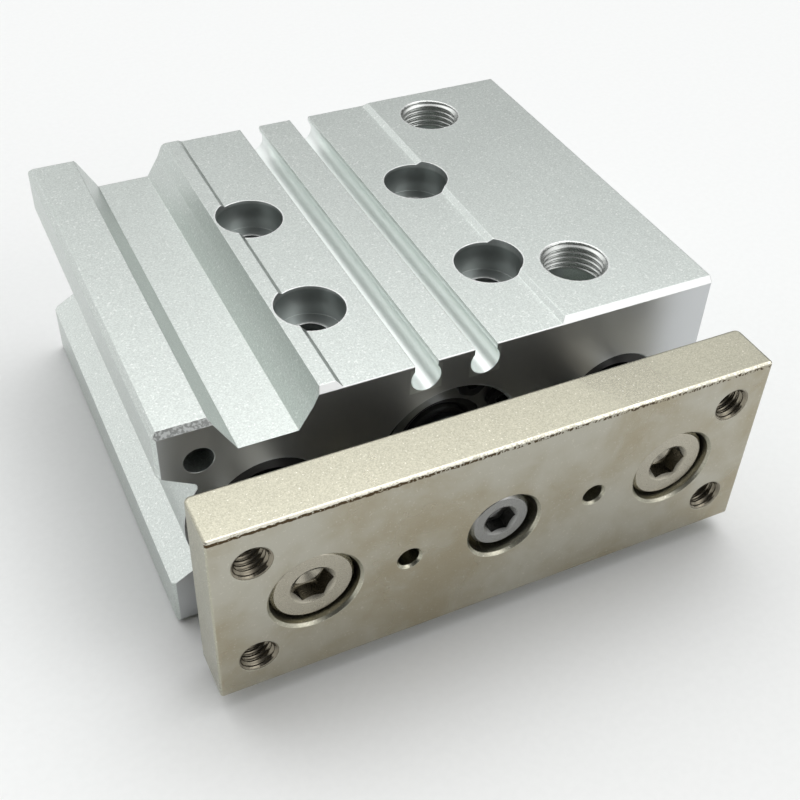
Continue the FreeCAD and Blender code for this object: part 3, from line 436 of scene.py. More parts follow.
@dataclass(frozen=True)
class SatinAluminium:
    """Clear anodised extrusion: satin skin with painted glints, painted light in the grooves, painted
    highlights on edges and rims, smoother milled ends and bored holes.
    """

    effects: Effects
    skin: Colour = (0.60, 0.64, 0.615)
    dark_grain: float = 0.88
    light_grain: float = 1.12
    # Painted glints: bright specks of this colour scattered over the skin.
    speck_glint: Colour = (0.90, 0.92, 0.90)
    speck_glint_share: float = 0.5
    milled: Colour = (0.595, 0.61, 0.62)
    bored: Colour = (0.52, 0.55, 0.54)
    # Painted light: the insides of the two sensor grooves are lightened with this colour.
    painted_groove_light: Colour = (0.86, 0.90, 0.88)
    painted_groove_light_share: float = 0.85
    # Painted highlight: edges, found by their rounded normal, are lightened with this colour.
    edge_highlight: Colour = (0.86, 0.87, 0.86)
    edge_highlight_share: float = 0.6
    # Painted highlight: the rims of the counterbores, screw holes and ports are lightened with this
    # colour.
    rim_highlight: Colour = (0.93, 0.94, 0.93)
    rim_highlight_share: float = 0.8
    clean_cut: Colour = (0.78, 0.79, 0.78)
    torn_low: Colour = (0.30, 0.31, 0.30)
    torn_high: Colour = (0.56, 0.58, 0.57)
    torn_scale: float = 2600.0
    torn_tones: Span = (0.42, 0.60)
    skin_roughness: float = 0.40
    roughness_waver: float = 0.01
    milled_roughness: float = 0.37
    bored_roughness: float = 0.36
    relief: float = 0.01 * MM
    relief_strength: float = 0.5
    smoothed: float = 0.98
    end_facing: Span = (0.90, 0.97)
    wing_side: Span = (-20.0 * MM, -25.0 * MM)
    wing_front: Span = (-20.0 * MM, -22.0 * MM)
    counterbores: HoleSet = HoleSet(column=14.0 * MM, middle=3.5 * MM, half=12.0 * MM,
                                    mirrored=True)
    counterbore_radius: float = 5.05 * MM
    counterbore_rim: float = 0.26 * MM
    counterbore_floor: float = 30.5 * MM
    floor_band: Band = (-1.2 * MM, -0.5 * MM, 0.1 * MM, 0.3 * MM)
    screw_rim_radius: float = 2.90 * MM
    screw_rim: float = 0.34 * MM
    ports: HoleSet = HoleSet(column=25.2 * MM, middle=9.55 * MM, half=23.45 * MM,
                             mirrored=False)
    port_radius: float = 4.85 * MM
    port_rim: float = 0.4 * MM
    top_rims: Span = (34.6 * MM, 35.1 * MM)
    groove_x: float = 4.45 * MM
    groove_z: float = 32.95 * MM
    groove_half: float = 2.2 * MM
    groove_fade: float = 0.3 * MM
    groove_neck: Span = (0.7, 0.9)

    def rims(self, graph: Graph, here: Output) -> Tuple[Output, Output]:
        """Masks the rims round the four counterbores, their screw holes and the two ports, where a
        highlight is painted.

        Args:
            graph: the material's graph.
            here: the object coordinates.

        Returns:
            The mask of the rims that get a painted highlight, and the mask of the counterbores'
            insides.
        """
        x, y, z = graph.split(here)
        across = self.counterbores.across(graph, x, y)
        bores = graph.group(self.effects.rim, Vector=across, Radius=self.counterbore_radius,
                            Width=self.counterbore_rim)
        screw_holes = graph.group(self.effects.rim, Vector=across, Radius=self.screw_rim_radius,
                                  Width=self.screw_rim)
        ports = graph.group(self.effects.rim, Vector=self.ports.across(graph, x, y),
                            Radius=self.port_radius, Width=self.port_rim)
        at_top = graph.times(graph.math("MAXIMUM", bores["Mask"], ports["Mask"]),
                             graph.remap(z, *self.top_rims))
        at_floor = graph.times(screw_holes["Mask"],
                               graph.band(z, *shifted(self.floor_band, self.counterbore_floor)))
        return graph.math("MAXIMUM", at_top, at_floor), bores["Inside"]

    def grooves(self, graph: Graph, here: Output) -> Output:
        """Masks the inside of the two sensor grooves, where painted light goes.

        Args:
            graph: the material's graph.
            here: the object coordinates.

        Returns:
            The mask.
        """
        x, _, z = graph.split(here)
        near, far = self.groove_x - self.groove_half, self.groove_x + self.groove_half
        across = graph.band(graph.math("ABSOLUTE", x), near - self.groove_fade, near, far,
                            far + self.groove_fade)
        low = self.groove_z - self.groove_half
        neck = shifted([share * self.groove_half for share in self.groove_neck], self.groove_z)
        return graph.times(across, graph.band(z, low - self.groove_fade, low, *neck))

    def chamfer(self, graph: Graph, here: Output) -> Output:
        """Colours the end chamfers: bright where they were cut clean, rough on the wing.

        Args:
            graph: the material's graph.
            here: the object coordinates.

        Returns:
            The colour.
        """
        x, y, _ = graph.split(here)
        torn = graph.remap(graph.noise(here, self.torn_scale, detail=1.0), *self.torn_tones)
        rough = graph.mix(torn, self.torn_low, self.torn_high)
        wing = graph.times(graph.remap(x, *self.wing_side), graph.remap(y, *self.wing_front))
        return graph.mix(wing, self.clean_cut, rough)

    def material(self) -> Material:
        """Builds the material.

        Returns:
            The material.
        """
        material, graph, shader = start_material("satin_aluminium")
        here = graph.place()
        _, lengthwise, upright = graph.facing()
        end_face = graph.remap(lengthwise, *self.end_facing)
        rims, inside = self.rims(graph, here)
        grain = graph.group(self.effects.grain, Vector=here, Scale=4600.0, Sparse=0.63)
        cloud = graph.group(self.effects.cloud, Vector=here, Scale=70.0, Contrast=0.9)
        edge = graph.group(self.effects.edge, Radius=0.14 * MM, Gain=2.4)

        colour = graph.mix(graph.remap(grain["Height"], *GRAIN_TONES),
                           shade(self.skin, self.dark_grain), shade(self.skin, self.light_grain))
        sloped = graph.times(graph.band(lengthwise, *HALFWAY), graph.band(upright, *HALFWAY))
        # Over the grain: painted glints on the specks, the milled ends, the bored holes, painted
        # light in the grooves, the end chamfers, then painted highlights on edges and rims.
        for share, over in ((graph.times(grain["Specks"], self.speck_glint_share), self.speck_glint),
                            (end_face, self.milled),
                            (inside, self.bored),
                            # painted light in the grooves
                            (graph.times(self.grooves(graph, here), self.painted_groove_light_share),
                             self.painted_groove_light),
                            (sloped, self.chamfer(graph, here)),
                            # painted highlight on the edges
                            (graph.times(edge["Mask"], self.edge_highlight_share), self.edge_highlight),
                            # painted highlight on the rims
                            (graph.times(rims, self.rim_highlight_share), self.rim_highlight)):
            colour = graph.mix(share, colour, over)
        graph.feed(shader["Base Color"], colour)
        shader["Metallic"].default_value = 1.0

        rough = graph.remap(cloud["Value"], *CLOUD_TONES,
                            self.skin_roughness - self.roughness_waver,
                            self.skin_roughness + self.roughness_waver)
        for share, over in ((end_face, self.milled_roughness), (inside, self.bored_roughness)):
            rough = graph.remap(share, 0.0, 1.0, rough, over)
        graph.feed(shader["Roughness"], rough)
        bare = graph.math("MAXIMUM", inside, end_face)
        fine = graph.times(grain["Height"],
                           graph.math("SUBTRACT", 1.0, graph.times(bare, self.smoothed)))
        graph.feed(shader["Normal"],
                   graph.bump(fine, self.relief, self.relief_strength, edge["Normal"]))
        return material


@dataclass(frozen=True)
class NickelPlate:
    """Nickel over milled steel: warm grey faces, a cloudier front, painted glints, and ragged painted
    highlights on the edges, with painted light and shade along the front top edge.
    """

    effects: Effects
    flat: Colour = (0.475, 0.46, 0.37)
    dark_grain: float = 0.80
    light_grain: float = 1.12
    face: Colour = (0.435, 0.405, 0.315)
    stained: Colour = (0.85, 0.81, 0.75)
    clear: Colour = (1.09, 1.13, 1.24)
    smudge_share: float = 0.4
    # Painted glints: bright specks of this colour, fewer on the milled front and back.
    speck_glint: Colour = (0.90, 0.88, 0.80)
    speck_glint_share: float = 0.6
    speck_glint_loss: float = 0.45
    # Painted highlight: the edges are lightened with this colour, broken up by a noise.
    edge_highlight: Colour = (0.84, 0.81, 0.71)
    edge_breakup_scale: float = 2800.0
    edge_breakup_tones: Span = (0.38, 0.62)
    edge_breakup_shares: Span = (0.25, 1.0)
    roughness: Span = (0.26, 0.36)
    relief: float = 0.012 * MM
    relief_strength: float = 0.6
    smoothed: float = 0.75
    end_facing: Span = (0.85, 0.97)
    top: float = 33.0 * MM
    front: float = -41.5 * MM
    edge_depth: Span = (0.36 * MM, 0.20 * MM)
    waver: float = 0.5 * MM
    waver_scale: float = 1500.0
    # Painted shade: a dark, broken line just below the front top edge.
    painted_shade_line: Colour = (0.075, 0.05, 0.025)
    line_band: Band = (-0.84 * MM, -0.74 * MM, -0.36 * MM, -0.28 * MM)
    line_ends: Span = (-30.0 * MM, 10.0 * MM)
    line_gaps: Span = (0.30, 0.47)
    flake_scale: float = 3200.0
    flake_stretch: Point = (1.0, 1.0, 0.6)
    flake_sharpness: float = 12.0
    # Painted highlight: a bright lip along the front top edge.
    lip_highlight: Colour = (0.97, 0.93, 0.80)
    lip_band: Band = (-0.34 * MM, -0.24 * MM, 0.30 * MM, 0.40 * MM)
    lip_shares: Span = (0.3, 0.6)

    def burr(self, graph: Graph, here: Output, colour: Output) -> Output:
        """Paints light and shade along the front top edge on a colour: a ragged painted highlight on
        the lip, with a painted dark line below it.

        Args:
            graph: the material's graph.
            here: the object coordinates.
            colour: the colour of the plain plate.

        Returns:
            The colour with its painted highlight and painted shade.
        """
        x, y, z = graph.split(here)
        waver = graph.math("SUBTRACT", graph.noise(here, self.waver_scale, detail=3.0), 0.5)
        level = graph.math("ADD", z, graph.times(waver, self.waver))
        near = graph.remap(y, *shifted(self.edge_depth, self.front))
        flaked = graph.noise(graph.place(stretch=self.flake_stretch), self.flake_scale,
                             detail=1.0)
        over = graph.math("SUBTRACT", flaked, graph.remap(x, *self.line_ends, *self.line_gaps))
        broken = graph.math("MULTIPLY", over, self.flake_sharpness, clamp=True)
        # Painted shade under the front top edge.
        painted_shade_band = graph.band(level, *shifted(self.line_band, self.top))
        colour = graph.mix(graph.times(painted_shade_band, near, broken), colour, self.painted_shade_line)
        least, rest = self.lip_shares
        # Painted highlight on the lip, broken by the same flakes.
        painted_lip_band = graph.band(level, *shifted(self.lip_band, self.top))
        glint = graph.times(graph.times(painted_lip_band, near),
                            graph.math("MULTIPLY_ADD", broken, rest, least))
        return graph.mix(glint, colour, self.lip_highlight)

    def material(self) -> Material:
        """Builds the material.

        Returns:
            The material.
        """
        material, graph, shader = start_material("nickel_plate")
        here = graph.place()
        _, lengthwise, _ = graph.facing()
        end_face = graph.remap(lengthwise, *self.end_facing)
        grain = graph.group(self.effects.grain, Vector=here, Scale=5200.0, Sparse=0.67)
        cloud = graph.group(self.effects.cloud, Vector=here, Scale=48.0, Contrast=2.4)
        smudge = graph.group(self.effects.cloud, Vector=here, Scale=190.0, Contrast=1.8)
        edge = graph.group(self.effects.edge, Radius=0.16 * MM, Gain=2.6)

        plain = graph.mix(graph.remap(grain["Height"], *GRAIN_TONES),
                          shade(self.flat, self.dark_grain), shade(self.flat, self.light_grain))
        stain = graph.math("MULTIPLY_ADD", smudge["Value"], self.smudge_share,
                           graph.times(cloud["Value"], 1.0 - self.smudge_share))
        milled = graph.mix(graph.remap(stain, *CLOUD_TONES), tint(self.face, self.stained),
                           tint(self.face, self.clear))
        colour = graph.mix(end_face, plain, milled)
        left = graph.math("SUBTRACT", self.speck_glint_share, graph.times(end_face, self.speck_glint_loss))
        colour = graph.mix(graph.times(grain["Specks"], left), colour, self.speck_glint)
        # Painted highlight on the edges, broken up by a noise.
        edge_breakup = graph.remap(graph.noise(here, self.edge_breakup_scale, detail=1.0), *self.edge_breakup_tones,
                             *self.edge_breakup_shares)
        colour = graph.mix(graph.times(edge["Mask"], edge_breakup), colour, self.edge_highlight)
        # The front top edge gets its painted highlight and painted shade.
        graph.feed(shader["Base Color"], self.burr(graph, here, colour))
        shader["Metallic"].default_value = 1.0
        graph.feed(shader["Roughness"],
                   graph.remap(cloud["Value"], *CLOUD_TONES, *self.roughness))
        fine = graph.times(grain["Height"],
                           graph.math("SUBTRACT", 1.0, graph.times(end_face, self.smoothed)))
        graph.feed(shader["Normal"],
                   graph.bump(fine, self.relief, self.relief_strength, edge["Normal"]))
        return material


@dataclass(frozen=True)
class HexSocket:
    """The hexagon socket of a screw's head: its reach from the axis, its mouth and its floor, and the
    painted shade on its walls.
    """

    reach: float
    mouth: float
    floor: float
    fade: float = 0.06 * MM
    mouth_fade: float = 0.35 * MM
    floor_fade: float = 0.10 * MM
    # Painted shade: how much of the walls is darkened, and to what share of the screw's colour.
    share: float = 0.72
    painted_socket_shade: float = 0.18

    def walls(self, graph: Graph, away: Output, along: Output) -> Output:
        """Masks the socket's walls, where painted shade goes.

        Args:
            graph: the material's graph.
            away: the distance from the screw's axis.
            along: the place along it.

        Returns:
            The mask.
        """
        within = graph.remap(away, self.reach + self.fade, self.reach)
        deep = graph.band(along, self.mouth, self.mouth + self.mouth_fade,
                          self.floor - self.floor_fade, self.floor)
        return graph.times(within, deep, self.share)


@dataclass(frozen=True)
class TurnedMetal:
    """Metal with fine rings round one axis: rods, screw heads, covers, pistons, bushes."""

    effects: Effects
    name: str
    colour: Colour
    roughness: float
    centre: Point
    axis: Axis = Axis.Y
    ring_pitch: float = 0.14 * MM
    ring_depth: float = 0.004 * MM
    ring_strength: float = 0.5
    edge_radius: float = 0.10 * MM
    edge_share: float = 0.5
    cloud_shades: Span = (0.9, 1.08)
    # Painted highlight: the edges are lightened by this share and lift.
    edge_highlight_shade: Span = (1.5, 0.08)
    roughness_shares: Span = (0.85, 1.2)
    socket: Optional[HexSocket] = None

    def material(self) -> Material:
        """Builds the material.

        Returns:
            The material.
        """
        material, graph, shader = start_material(self.name)
        here = graph.place(self.centre)
        parts = graph.split(here)
        along = parts[self.axis.value]
        across = [part for index, part in enumerate(parts) if index != self.axis.value]
        rings = graph.group(self.effects.rings, Vector=graph.join(*across, along),
                            Pitch=self.ring_pitch)
        cloud = graph.group(self.effects.cloud, Vector=here, Scale=160.0, Contrast=1.2)
        grain = graph.group(self.effects.grain, Vector=here, Scale=9000.0, Sparse=0.66)
        edge = graph.group(self.effects.edge, Radius=self.edge_radius, Gain=2.5)

        low, high = (shade(self.colour, share) for share in self.cloud_shades)
        colour = graph.mix(cloud["Value"], low, high)
        # Painted highlight on the edges.
        colour = graph.mix(graph.times(edge["Mask"], self.edge_share), colour,
                           shade(self.colour, *self.edge_highlight_shade))
        # Painted shade inside the hexagon socket.
        if self.socket is not None:
            colour = graph.mix(self.socket.walls(graph, rings["Distance"], along), colour,
                               shade(self.colour, self.socket.painted_socket_shade))
        graph.feed(shader["Base Color"], colour)
        shader["Metallic"].default_value = 1.0
        rough = [self.roughness * share for share in self.roughness_shares]
        graph.feed(shader["Roughness"], graph.remap(grain["Height"], *GRAIN_TONES, *rough))
        graph.feed(shader["Normal"], graph.bump(rings["Height"], self.ring_depth,
                                                self.ring_strength, edge["Normal"]))
        return material


@dataclass(frozen=True)
class Moulded:
    """Rubber, urethane, felt and plastic: dull, faintly mottled, with softened edges."""

    effects: Effects
    name: str
    colour: Colour
    roughness: float
    mottle: float = 0.25
    scale: float = 700.0
    relief: float = 0.02 * MM
    relief_strength: float = 0.4
    # Painted highlight: the edges are lightened by this share and lift.
    edge_highlight_shade: Span = (1.6, 0.01)
    edge_highlight_share: float = 0.4
    roughness_waver: Span = (-0.06, 0.08)

    def material(self) -> Material:
        """Builds the material.

        Returns:
            The material.
        """
        material, graph, shader = start_material(self.name)
        here = graph.place()
        cloud = graph.group(self.effects.cloud, Vector=here, Scale=self.scale, Contrast=1.6)
        edge = graph.group(self.effects.edge, Radius=0.12 * MM, Gain=2.0)
        colour = graph.mix(cloud["Value"], shade(self.colour, 1.0 - self.mottle),
                           shade(self.colour, 1.0 + self.mottle))
        # Painted highlight on the edges.
        colour = graph.mix(graph.times(edge["Mask"], self.edge_highlight_share), colour,
                           shade(self.colour, *self.edge_highlight_shade))
        graph.feed(shader["Base Color"], colour)
        rough = shifted(self.roughness_waver, self.roughness)
        graph.feed(shader["Roughness"], graph.remap(cloud["Value"], *CLOUD_TONES, *rough))
        graph.feed(shader["Normal"], graph.bump(cloud["Value"], self.relief,
                                                self.relief_strength, edge["Normal"]))
        return material


# Mesh surfaces.


def add_mesh(name: str, points: np.ndarray, quads: np.ndarray,
             material: Material) -> bpy.types.Object:
    """Puts whole arrays of points and four-sided smooth faces into a new object.

    Args:
        name: the piece's name.
        points: n by 3 places in the row frame, in metres.
        quads: m by 4 indices.
        material: its finish.

    Returns:
        The new object, at the origin.
    """
    mesh = bpy.data.meshes.new(name)
    mesh.vertices.add(len(points))
    mesh.vertices.foreach_set("co", points.astype(np.float32).ravel())
    mesh.loops.add(quads.size)
    mesh.loops.foreach_set("vertex_index", quads.astype(np.int32).ravel())
    mesh.polygons.add(len(quads))
    mesh.polygons.foreach_set("loop_start", np.arange(0, quads.size, 4, dtype=np.int32))
    mesh.polygons.foreach_set("use_smooth", np.ones(len(quads), dtype=bool))
    mesh.update(calc_edges=True)
    mesh.validate()
    mesh.materials.append(material)
    made = bpy.data.objects.new(name, mesh)
    bpy.context.scene.collection.objects.link(made)
    return made


def ring_quads(rows: int, columns: int, closed_rows: bool) -> np.ndarray:
    """Faces of a grid whose columns always close on themselves.

    Args:
        rows: points along the profile.
        columns: points round the axis.
        closed_rows: joins the last row to the first as well.

    Returns:
        Faces as m by 4 indices, with the same turn.
    """
    row, column = np.meshgrid(np.arange(rows if closed_rows else rows - 1),
                              np.arange(columns), indexing="ij")
    after, beside = (row + 1) % rows, (column + 1) % columns
    return np.stack([row * columns + column, row * columns + beside,
                     after * columns + beside, after * columns + column], -1).reshape(-1, 4)


@dataclass(frozen=True)
class ThreadSize:
    """An internal thread's measures; its start angle and burr only change how it looks."""

    root_radius: float
    ridge: float
    pitch: float
    depth: float
    mouth_radius: float
    columns: int
    start_angle: float = 0.0
    burr: float = 0.03 * MM


@dataclass(frozen=True)
class Thread:
    """An internal thread's ridges, drawn as a thin sleeve that lines a plain hole.

    The sleeve's inner radius is the root radius less the ridge height times a wave. The wave is
    a flat-topped triangle of the phase depth / pitch - angle / full turn, so its crests climb
    one pitch a turn and meet at the seam, and they fade out at the far end. A cone from the
    mouth cuts the first crests: the inner radius is never less than the mouth's radius minus the
    depth. The cone's radius wavers by a sum of sines round the mouth, as a torn burr does. The
    outer radius is the root radius plus a thin shell, and both walls close at the two ends.
    """

    name: str
    mouth: Point
    axis: Axis
    inward: float
    size: ThreadSize
    rows_per_pitch: int = 12
    shell: float = 0.03 * MM
    least_wall: float = 0.01 * MM
    crest_inset: float = 0.01 * MM
    cone_inset: float = 0.02 * MM
    fade_turns: float = 0.7

    def wave(self, phase: np.ndarray) -> np.ndarray:
        """A ridge's height from 0 to 1 for each phase, with a narrow crest and wide root."""
        saw = np.abs((phase % 1.0) * 2.0 - 1.0)
        return np.clip(1.3 * (1.0 - saw) - 0.2, 0.0, 1.0)

    def torn(self, angle: np.ndarray) -> np.ndarray:
        """The burr's waver from -1 to 1: sines of 17 times 5, of 29 and of 47 waves a turn."""
        return (0.45 * np.sin(17 * angle + self.size.start_angle) * np.sin(5 * angle)
                + 0.35 * np.sin(29 * angle + 2.0) + 0.2 * np.sin(47 * angle))

    def build(self, material: Material, body: str, slot: str) -> None:
        """Makes the sleeve and lets it ride.

        Args:
            material: its finish.
            body: the body it moves with.
            slot: not used.
        """
        size = self.size
        rows = int(self.rows_per_pitch * size.depth / size.pitch)
        down = np.linspace(0.0, size.depth, rows)[:, None]
        angle = np.linspace(0.0, math.tau, size.columns, endpoint=False)[None, :]
        turns = down / size.pitch - (angle + size.start_angle) / math.tau
        fade = np.clip((size.depth - down) / (self.fade_turns * size.pitch), 0, 1)
        crest = size.root_radius - self.crest_inset - size.ridge * self.wave(turns) * fade
        cone = size.mouth_radius - self.cone_inset - down + size.burr * (self.torn(angle) - 1.0)
        inner = np.maximum(crest, cone)
        outer = np.maximum(size.root_radius + self.shell, inner + self.least_wall)
        radius = np.concatenate([inner, outer[::-1]])
        depth = np.broadcast_to(np.concatenate([down, down[::-1]]), radius.shape)
        points = np.empty((*radius.shape, 3))
        along = self.axis.value
        first, second = (index for index in range(3) if index != along)
        points[..., first] = self.mouth[first] + radius * np.cos(angle)
        points[..., second] = self.mouth[second] + radius * np.sin(angle)
        points[..., along] = self.mouth[along] + self.inward * depth
        quads = ring_quads(len(radius), size.columns, True)
        outwards = (self.axis is Axis.Y) != (self.inward > 0)
        made = add_mesh(self.name, points.reshape(-1, 3), quads if outwards else quads[:, ::-1],
                        material)
        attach(made, body)
        LOG.info("thread %s: %d faces", self.name, len(quads))


# Sub-assemblies.


Finish = Union[SatinAluminium, NickelPlate, TurnedMetal, Moulded]


def dress(finish: Finish, *nodes: str) -> None:
    """Builds a finish and gives it to CAD nodes.

    Args:
        finish: the finish.
        nodes: the nodes' names.
    """
    material = finish.material()
    for name in nodes:
        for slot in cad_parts[name].material_slots:
            slot.material = material
        LOG.info("node %s wears %s", name, material.name)


@dataclass
class Body:
    """The extruded aluminium body with its threads."""

    effects: Effects
    top: float = 36.0 * MM
    back: float = 41.5 * MM
    mouth_gap: float = 0.01 * MM
    port_x: float = 25.2 * MM
    port_y: Span = (-13.9 * MM, 33.0 * MM)
    port_thread: ThreadSize = ThreadSize(
        root_radius=4.85 * MM, ridge=0.52 * MM, pitch=0.907 * MM, depth=4.9 * MM,
        mouth_radius=5.0 * MM, columns=128, start_angle=1.1, burr=0.07 * MM)
    end_hole_x: float = 36.0 * MM
    end_hole_z: Span = (6.0 * MM, 30.0 * MM)
    end_thread: ThreadSize = ThreadSize(
        root_radius=2.5 * MM, ridge=0.4 * MM, pitch=0.8 * MM, depth=8.0 * MM,
        mouth_radius=2.7 * MM, columns=48)
    fixing_x: float = 14.0 * MM
    fixing_y: Span = (-8.5 * MM, 15.5 * MM)
    fixing_thread: ThreadSize = ThreadSize(
        root_radius=3.0 * MM, ridge=0.5 * MM, pitch=1.0 * MM, depth=9.0 * MM,
        mouth_radius=3.2 * MM, columns=48)
    cut: Colour = (0.62, 0.64, 0.62)

    def threads(self) -> List[Thread]:
        """Lists every tapped hole's thread.

        Returns:
            The threads of the ports, the back and the bottom.
        """
        made = [Thread(f"{place}_port_thread", (self.port_x, y, self.top - self.mouth_gap),
                       Axis.Z, inward=-1.0, size=self.port_thread)
                for place, y in zip(("front", "rear"), self.port_y)]
        made += [Thread(f"back_{row}_{side}_thread",
                        (sign * self.end_hole_x, self.back - self.mouth_gap, z),
                        Axis.Y, inward=-1.0, size=self.end_thread)
                 for row, z in zip(("low", "high"), self.end_hole_z) for side, sign in SIDES]
        made += [Thread(f"bottom_{row}_{side}_thread", (sign * self.fixing_x, y, self.mouth_gap),
                        Axis.Z, inward=1.0, size=self.fixing_thread)
                 for row, y in zip(("front", "rear"), self.fixing_y) for side, sign in SIDES]
        return made

    def build(self) -> None:
        """Dresses the body and cuts its threads."""
        satin = SatinAluminium(self.effects, port_radius=self.port_thread.root_radius)
        dress(satin, "cylinder_body")
        cut = TurnedMetal(self.effects, "cut_aluminium", self.cut, roughness=0.28,
                          centre=(self.port_x, 0.0, 0.0), axis=Axis.Z,
                          edge_radius=0.05 * MM).material()
        for thread in self.threads():
            thread.build(cut, BARREL, "body")


@dataclass
class BoreParts:
    """Covers, rings, seals, bushes and wipers that sit inside the body."""

    effects: Effects
    bore_z: float = 18.0 * MM
    guide_x: float = 27.0 * MM
    plug_z: float = 22.0 * MM
    hard_anodised: Colour = (0.32, 0.33, 0.33)
    phosphated: Colour = (0.045, 0.045, 0.047)
    bronze: Colour = (0.56, 0.42, 0.22)
    zinc: Colour = (0.34, 0.34, 0.35)
    nitrile: Colour = (0.018, 0.018, 0.019)
    urethane: Colour = (0.22, 0.15, 0.06)
    felt: Colour = (0.42, 0.36, 0.25)
    moulding: Colour = (0.02, 0.02, 0.021)

    def build(self) -> None:
        """Dresses every piece."""
        turned = partial(TurnedMetal, self.effects, centre=(0.0, 0.0, self.bore_z))
        moulded = partial(Moulded, self.effects)
        dress(turned("hard_anodised_cover", self.hard_anodised, roughness=0.34),
              "rod_collar", "head_cover")
        dress(turned("phosphated_spring_steel", self.phosphated, roughness=0.42,
                     edge_share=0.25), "front_retaining_ring", "rear_retaining_ring")
        for side, sign in SIDES:
            dress(turned(f"bearing_bronze_{side}", self.bronze, roughness=0.36,
                         centre=(sign * self.guide_x, 0.0, self.bore_z)),
                  f"guide_bush_front_{side}", f"guide_bush_rear_{side}")
        dress(turned("zinc_plug", self.zinc, roughness=0.38, centre=(0.0, 0.0, self.plug_z),
                     axis=Axis.X), "front_port_plug", "rear_port_plug")
        dress(moulded("black_nitrile", self.nitrile, roughness=0.42),
              "rod_seal", "collar_gasket", "head_gasket")
        dress(moulded("amber_urethane", self.urethane, roughness=0.35),
              "rod_bumper", "head_bumper")
        dress(moulded("oiled_felt", self.felt, roughness=0.9, mottle=0.35, scale=2500.0,
                      relief=0.15 * MM), "felt_ring_left", "felt_ring_right")
        dress(moulded("black_moulding", self.moulding, roughness=0.38),
              "felt_holder_left", "felt_holder_right")


@dataclass
class Carriage:
    """The tool plate, its screws, the rods and the piston that move together."""

    effects: Effects
    axis_z: float = 18.0 * MM
    guide_x: float = 27.0 * MM
    plate_front: float = -41.5 * MM
    mouth_gap: float = 0.01 * MM
    thread_x: float = 35.0 * MM
    thread_z: Span = (9.0 * MM, 27.0 * MM)
    thread: ThreadSize = ThreadSize(
        root_radius=2.5 * MM, ridge=0.42 * MM, pitch=0.8 * MM, depth=7.6 * MM,
        mouth_radius=2.73 * MM, columns=80)
    guide_socket: HexSocket = HexSocket(reach=3.2 * MM, mouth=-40.5 * MM, floor=-37.9 * MM)
    centre_socket: HexSocket = HexSocket(reach=2.65 * MM, mouth=-40.5 * MM, floor=-38.3 * MM)
    plated: Colour = (0.45, 0.42, 0.345)
    chrome: Colour = (0.62, 0.63, 0.64)
    stainless: Colour = (0.31, 0.31, 0.30)
    turned: Colour = (0.60, 0.60, 0.57)
    nitrile: Colour = (0.018, 0.018, 0.019)
    magnet: Colour = (0.06, 0.06, 0.065)
    bearing: Colour = (0.60, 0.57, 0.50)
    # Painted shade: the plate's tapped threads take a colour much darker than the plate.
    thread_painted_shade: Colour = (0.25, 0.225, 0.175)

    def build(self) -> None:
        """Dresses every piece and cuts the plate's corner threads."""
        turned = partial(TurnedMetal, self.effects, centre=(0.0, 0.0, self.axis_z))
        moulded = partial(Moulded, self.effects)
        dress(NickelPlate(self.effects, front=self.plate_front), "tool_plate")
        for side, sign in SIDES:
            guide = partial(turned, centre=(sign * self.guide_x, 0.0, self.axis_z))
            dress(guide(f"plated_screw_{side}", self.plated, roughness=0.28,
                        socket=self.guide_socket), f"guide_screw_{side}")
            dress(guide(f"hard_chrome_{side}", self.chrome, roughness=0.14),
                  f"guide_rod_{side}")
        dress(turned("stainless_screw", self.stainless, roughness=0.30,
                     socket=self.centre_socket), "centre_screw")
        dress(turned("hard_chrome_middle", self.chrome, roughness=0.14), "piston_rod")
        dress(turned("turned_piston", self.turned, roughness=0.34), "piston")
        dress(moulded("black_piston_seal", self.nitrile, roughness=0.42), "piston_seal")
        dress(moulded("bonded_magnet", self.magnet, roughness=0.55), "magnet_ring")
        dress(moulded("bearing_plastic", self.bearing, roughness=0.5), "wear_ring")
        # The plate's corner threads wear the darker colour as painted shade in their holes.
        thread_painted_shade = turned("plated_thread", self.thread_painted_shade, roughness=0.22,
                        edge_radius=0.04 * MM).material()
        for row, z in zip(("low", "high"), self.thread_z):
            for side, sign in SIDES:
                mouth = (sign * self.thread_x, self.plate_front + self.mouth_gap, z)
                corner = Thread(f"plate_{row}_{side}_thread", mouth, Axis.Y, inward=1.0,
                                size=self.thread)
                corner.build(thread_painted_shade, CARRIAGE, "plate")


# Studio.


@dataclass(frozen=True)
class Glow:
    """One soft light of the sky, given by its bearing and height in degrees."""

    bearing: float
    height: float
    tightness: float
    level: float

    def direction(self) -> Point:
        """The unit vector towards it; bearing 0 is +Y and 90 is +X."""
        turn, rise = math.radians(self.bearing), math.radians(self.height)
        return (math.sin(turn) * math.cos(rise), math.cos(turn) * math.cos(rise), math.sin(rise))


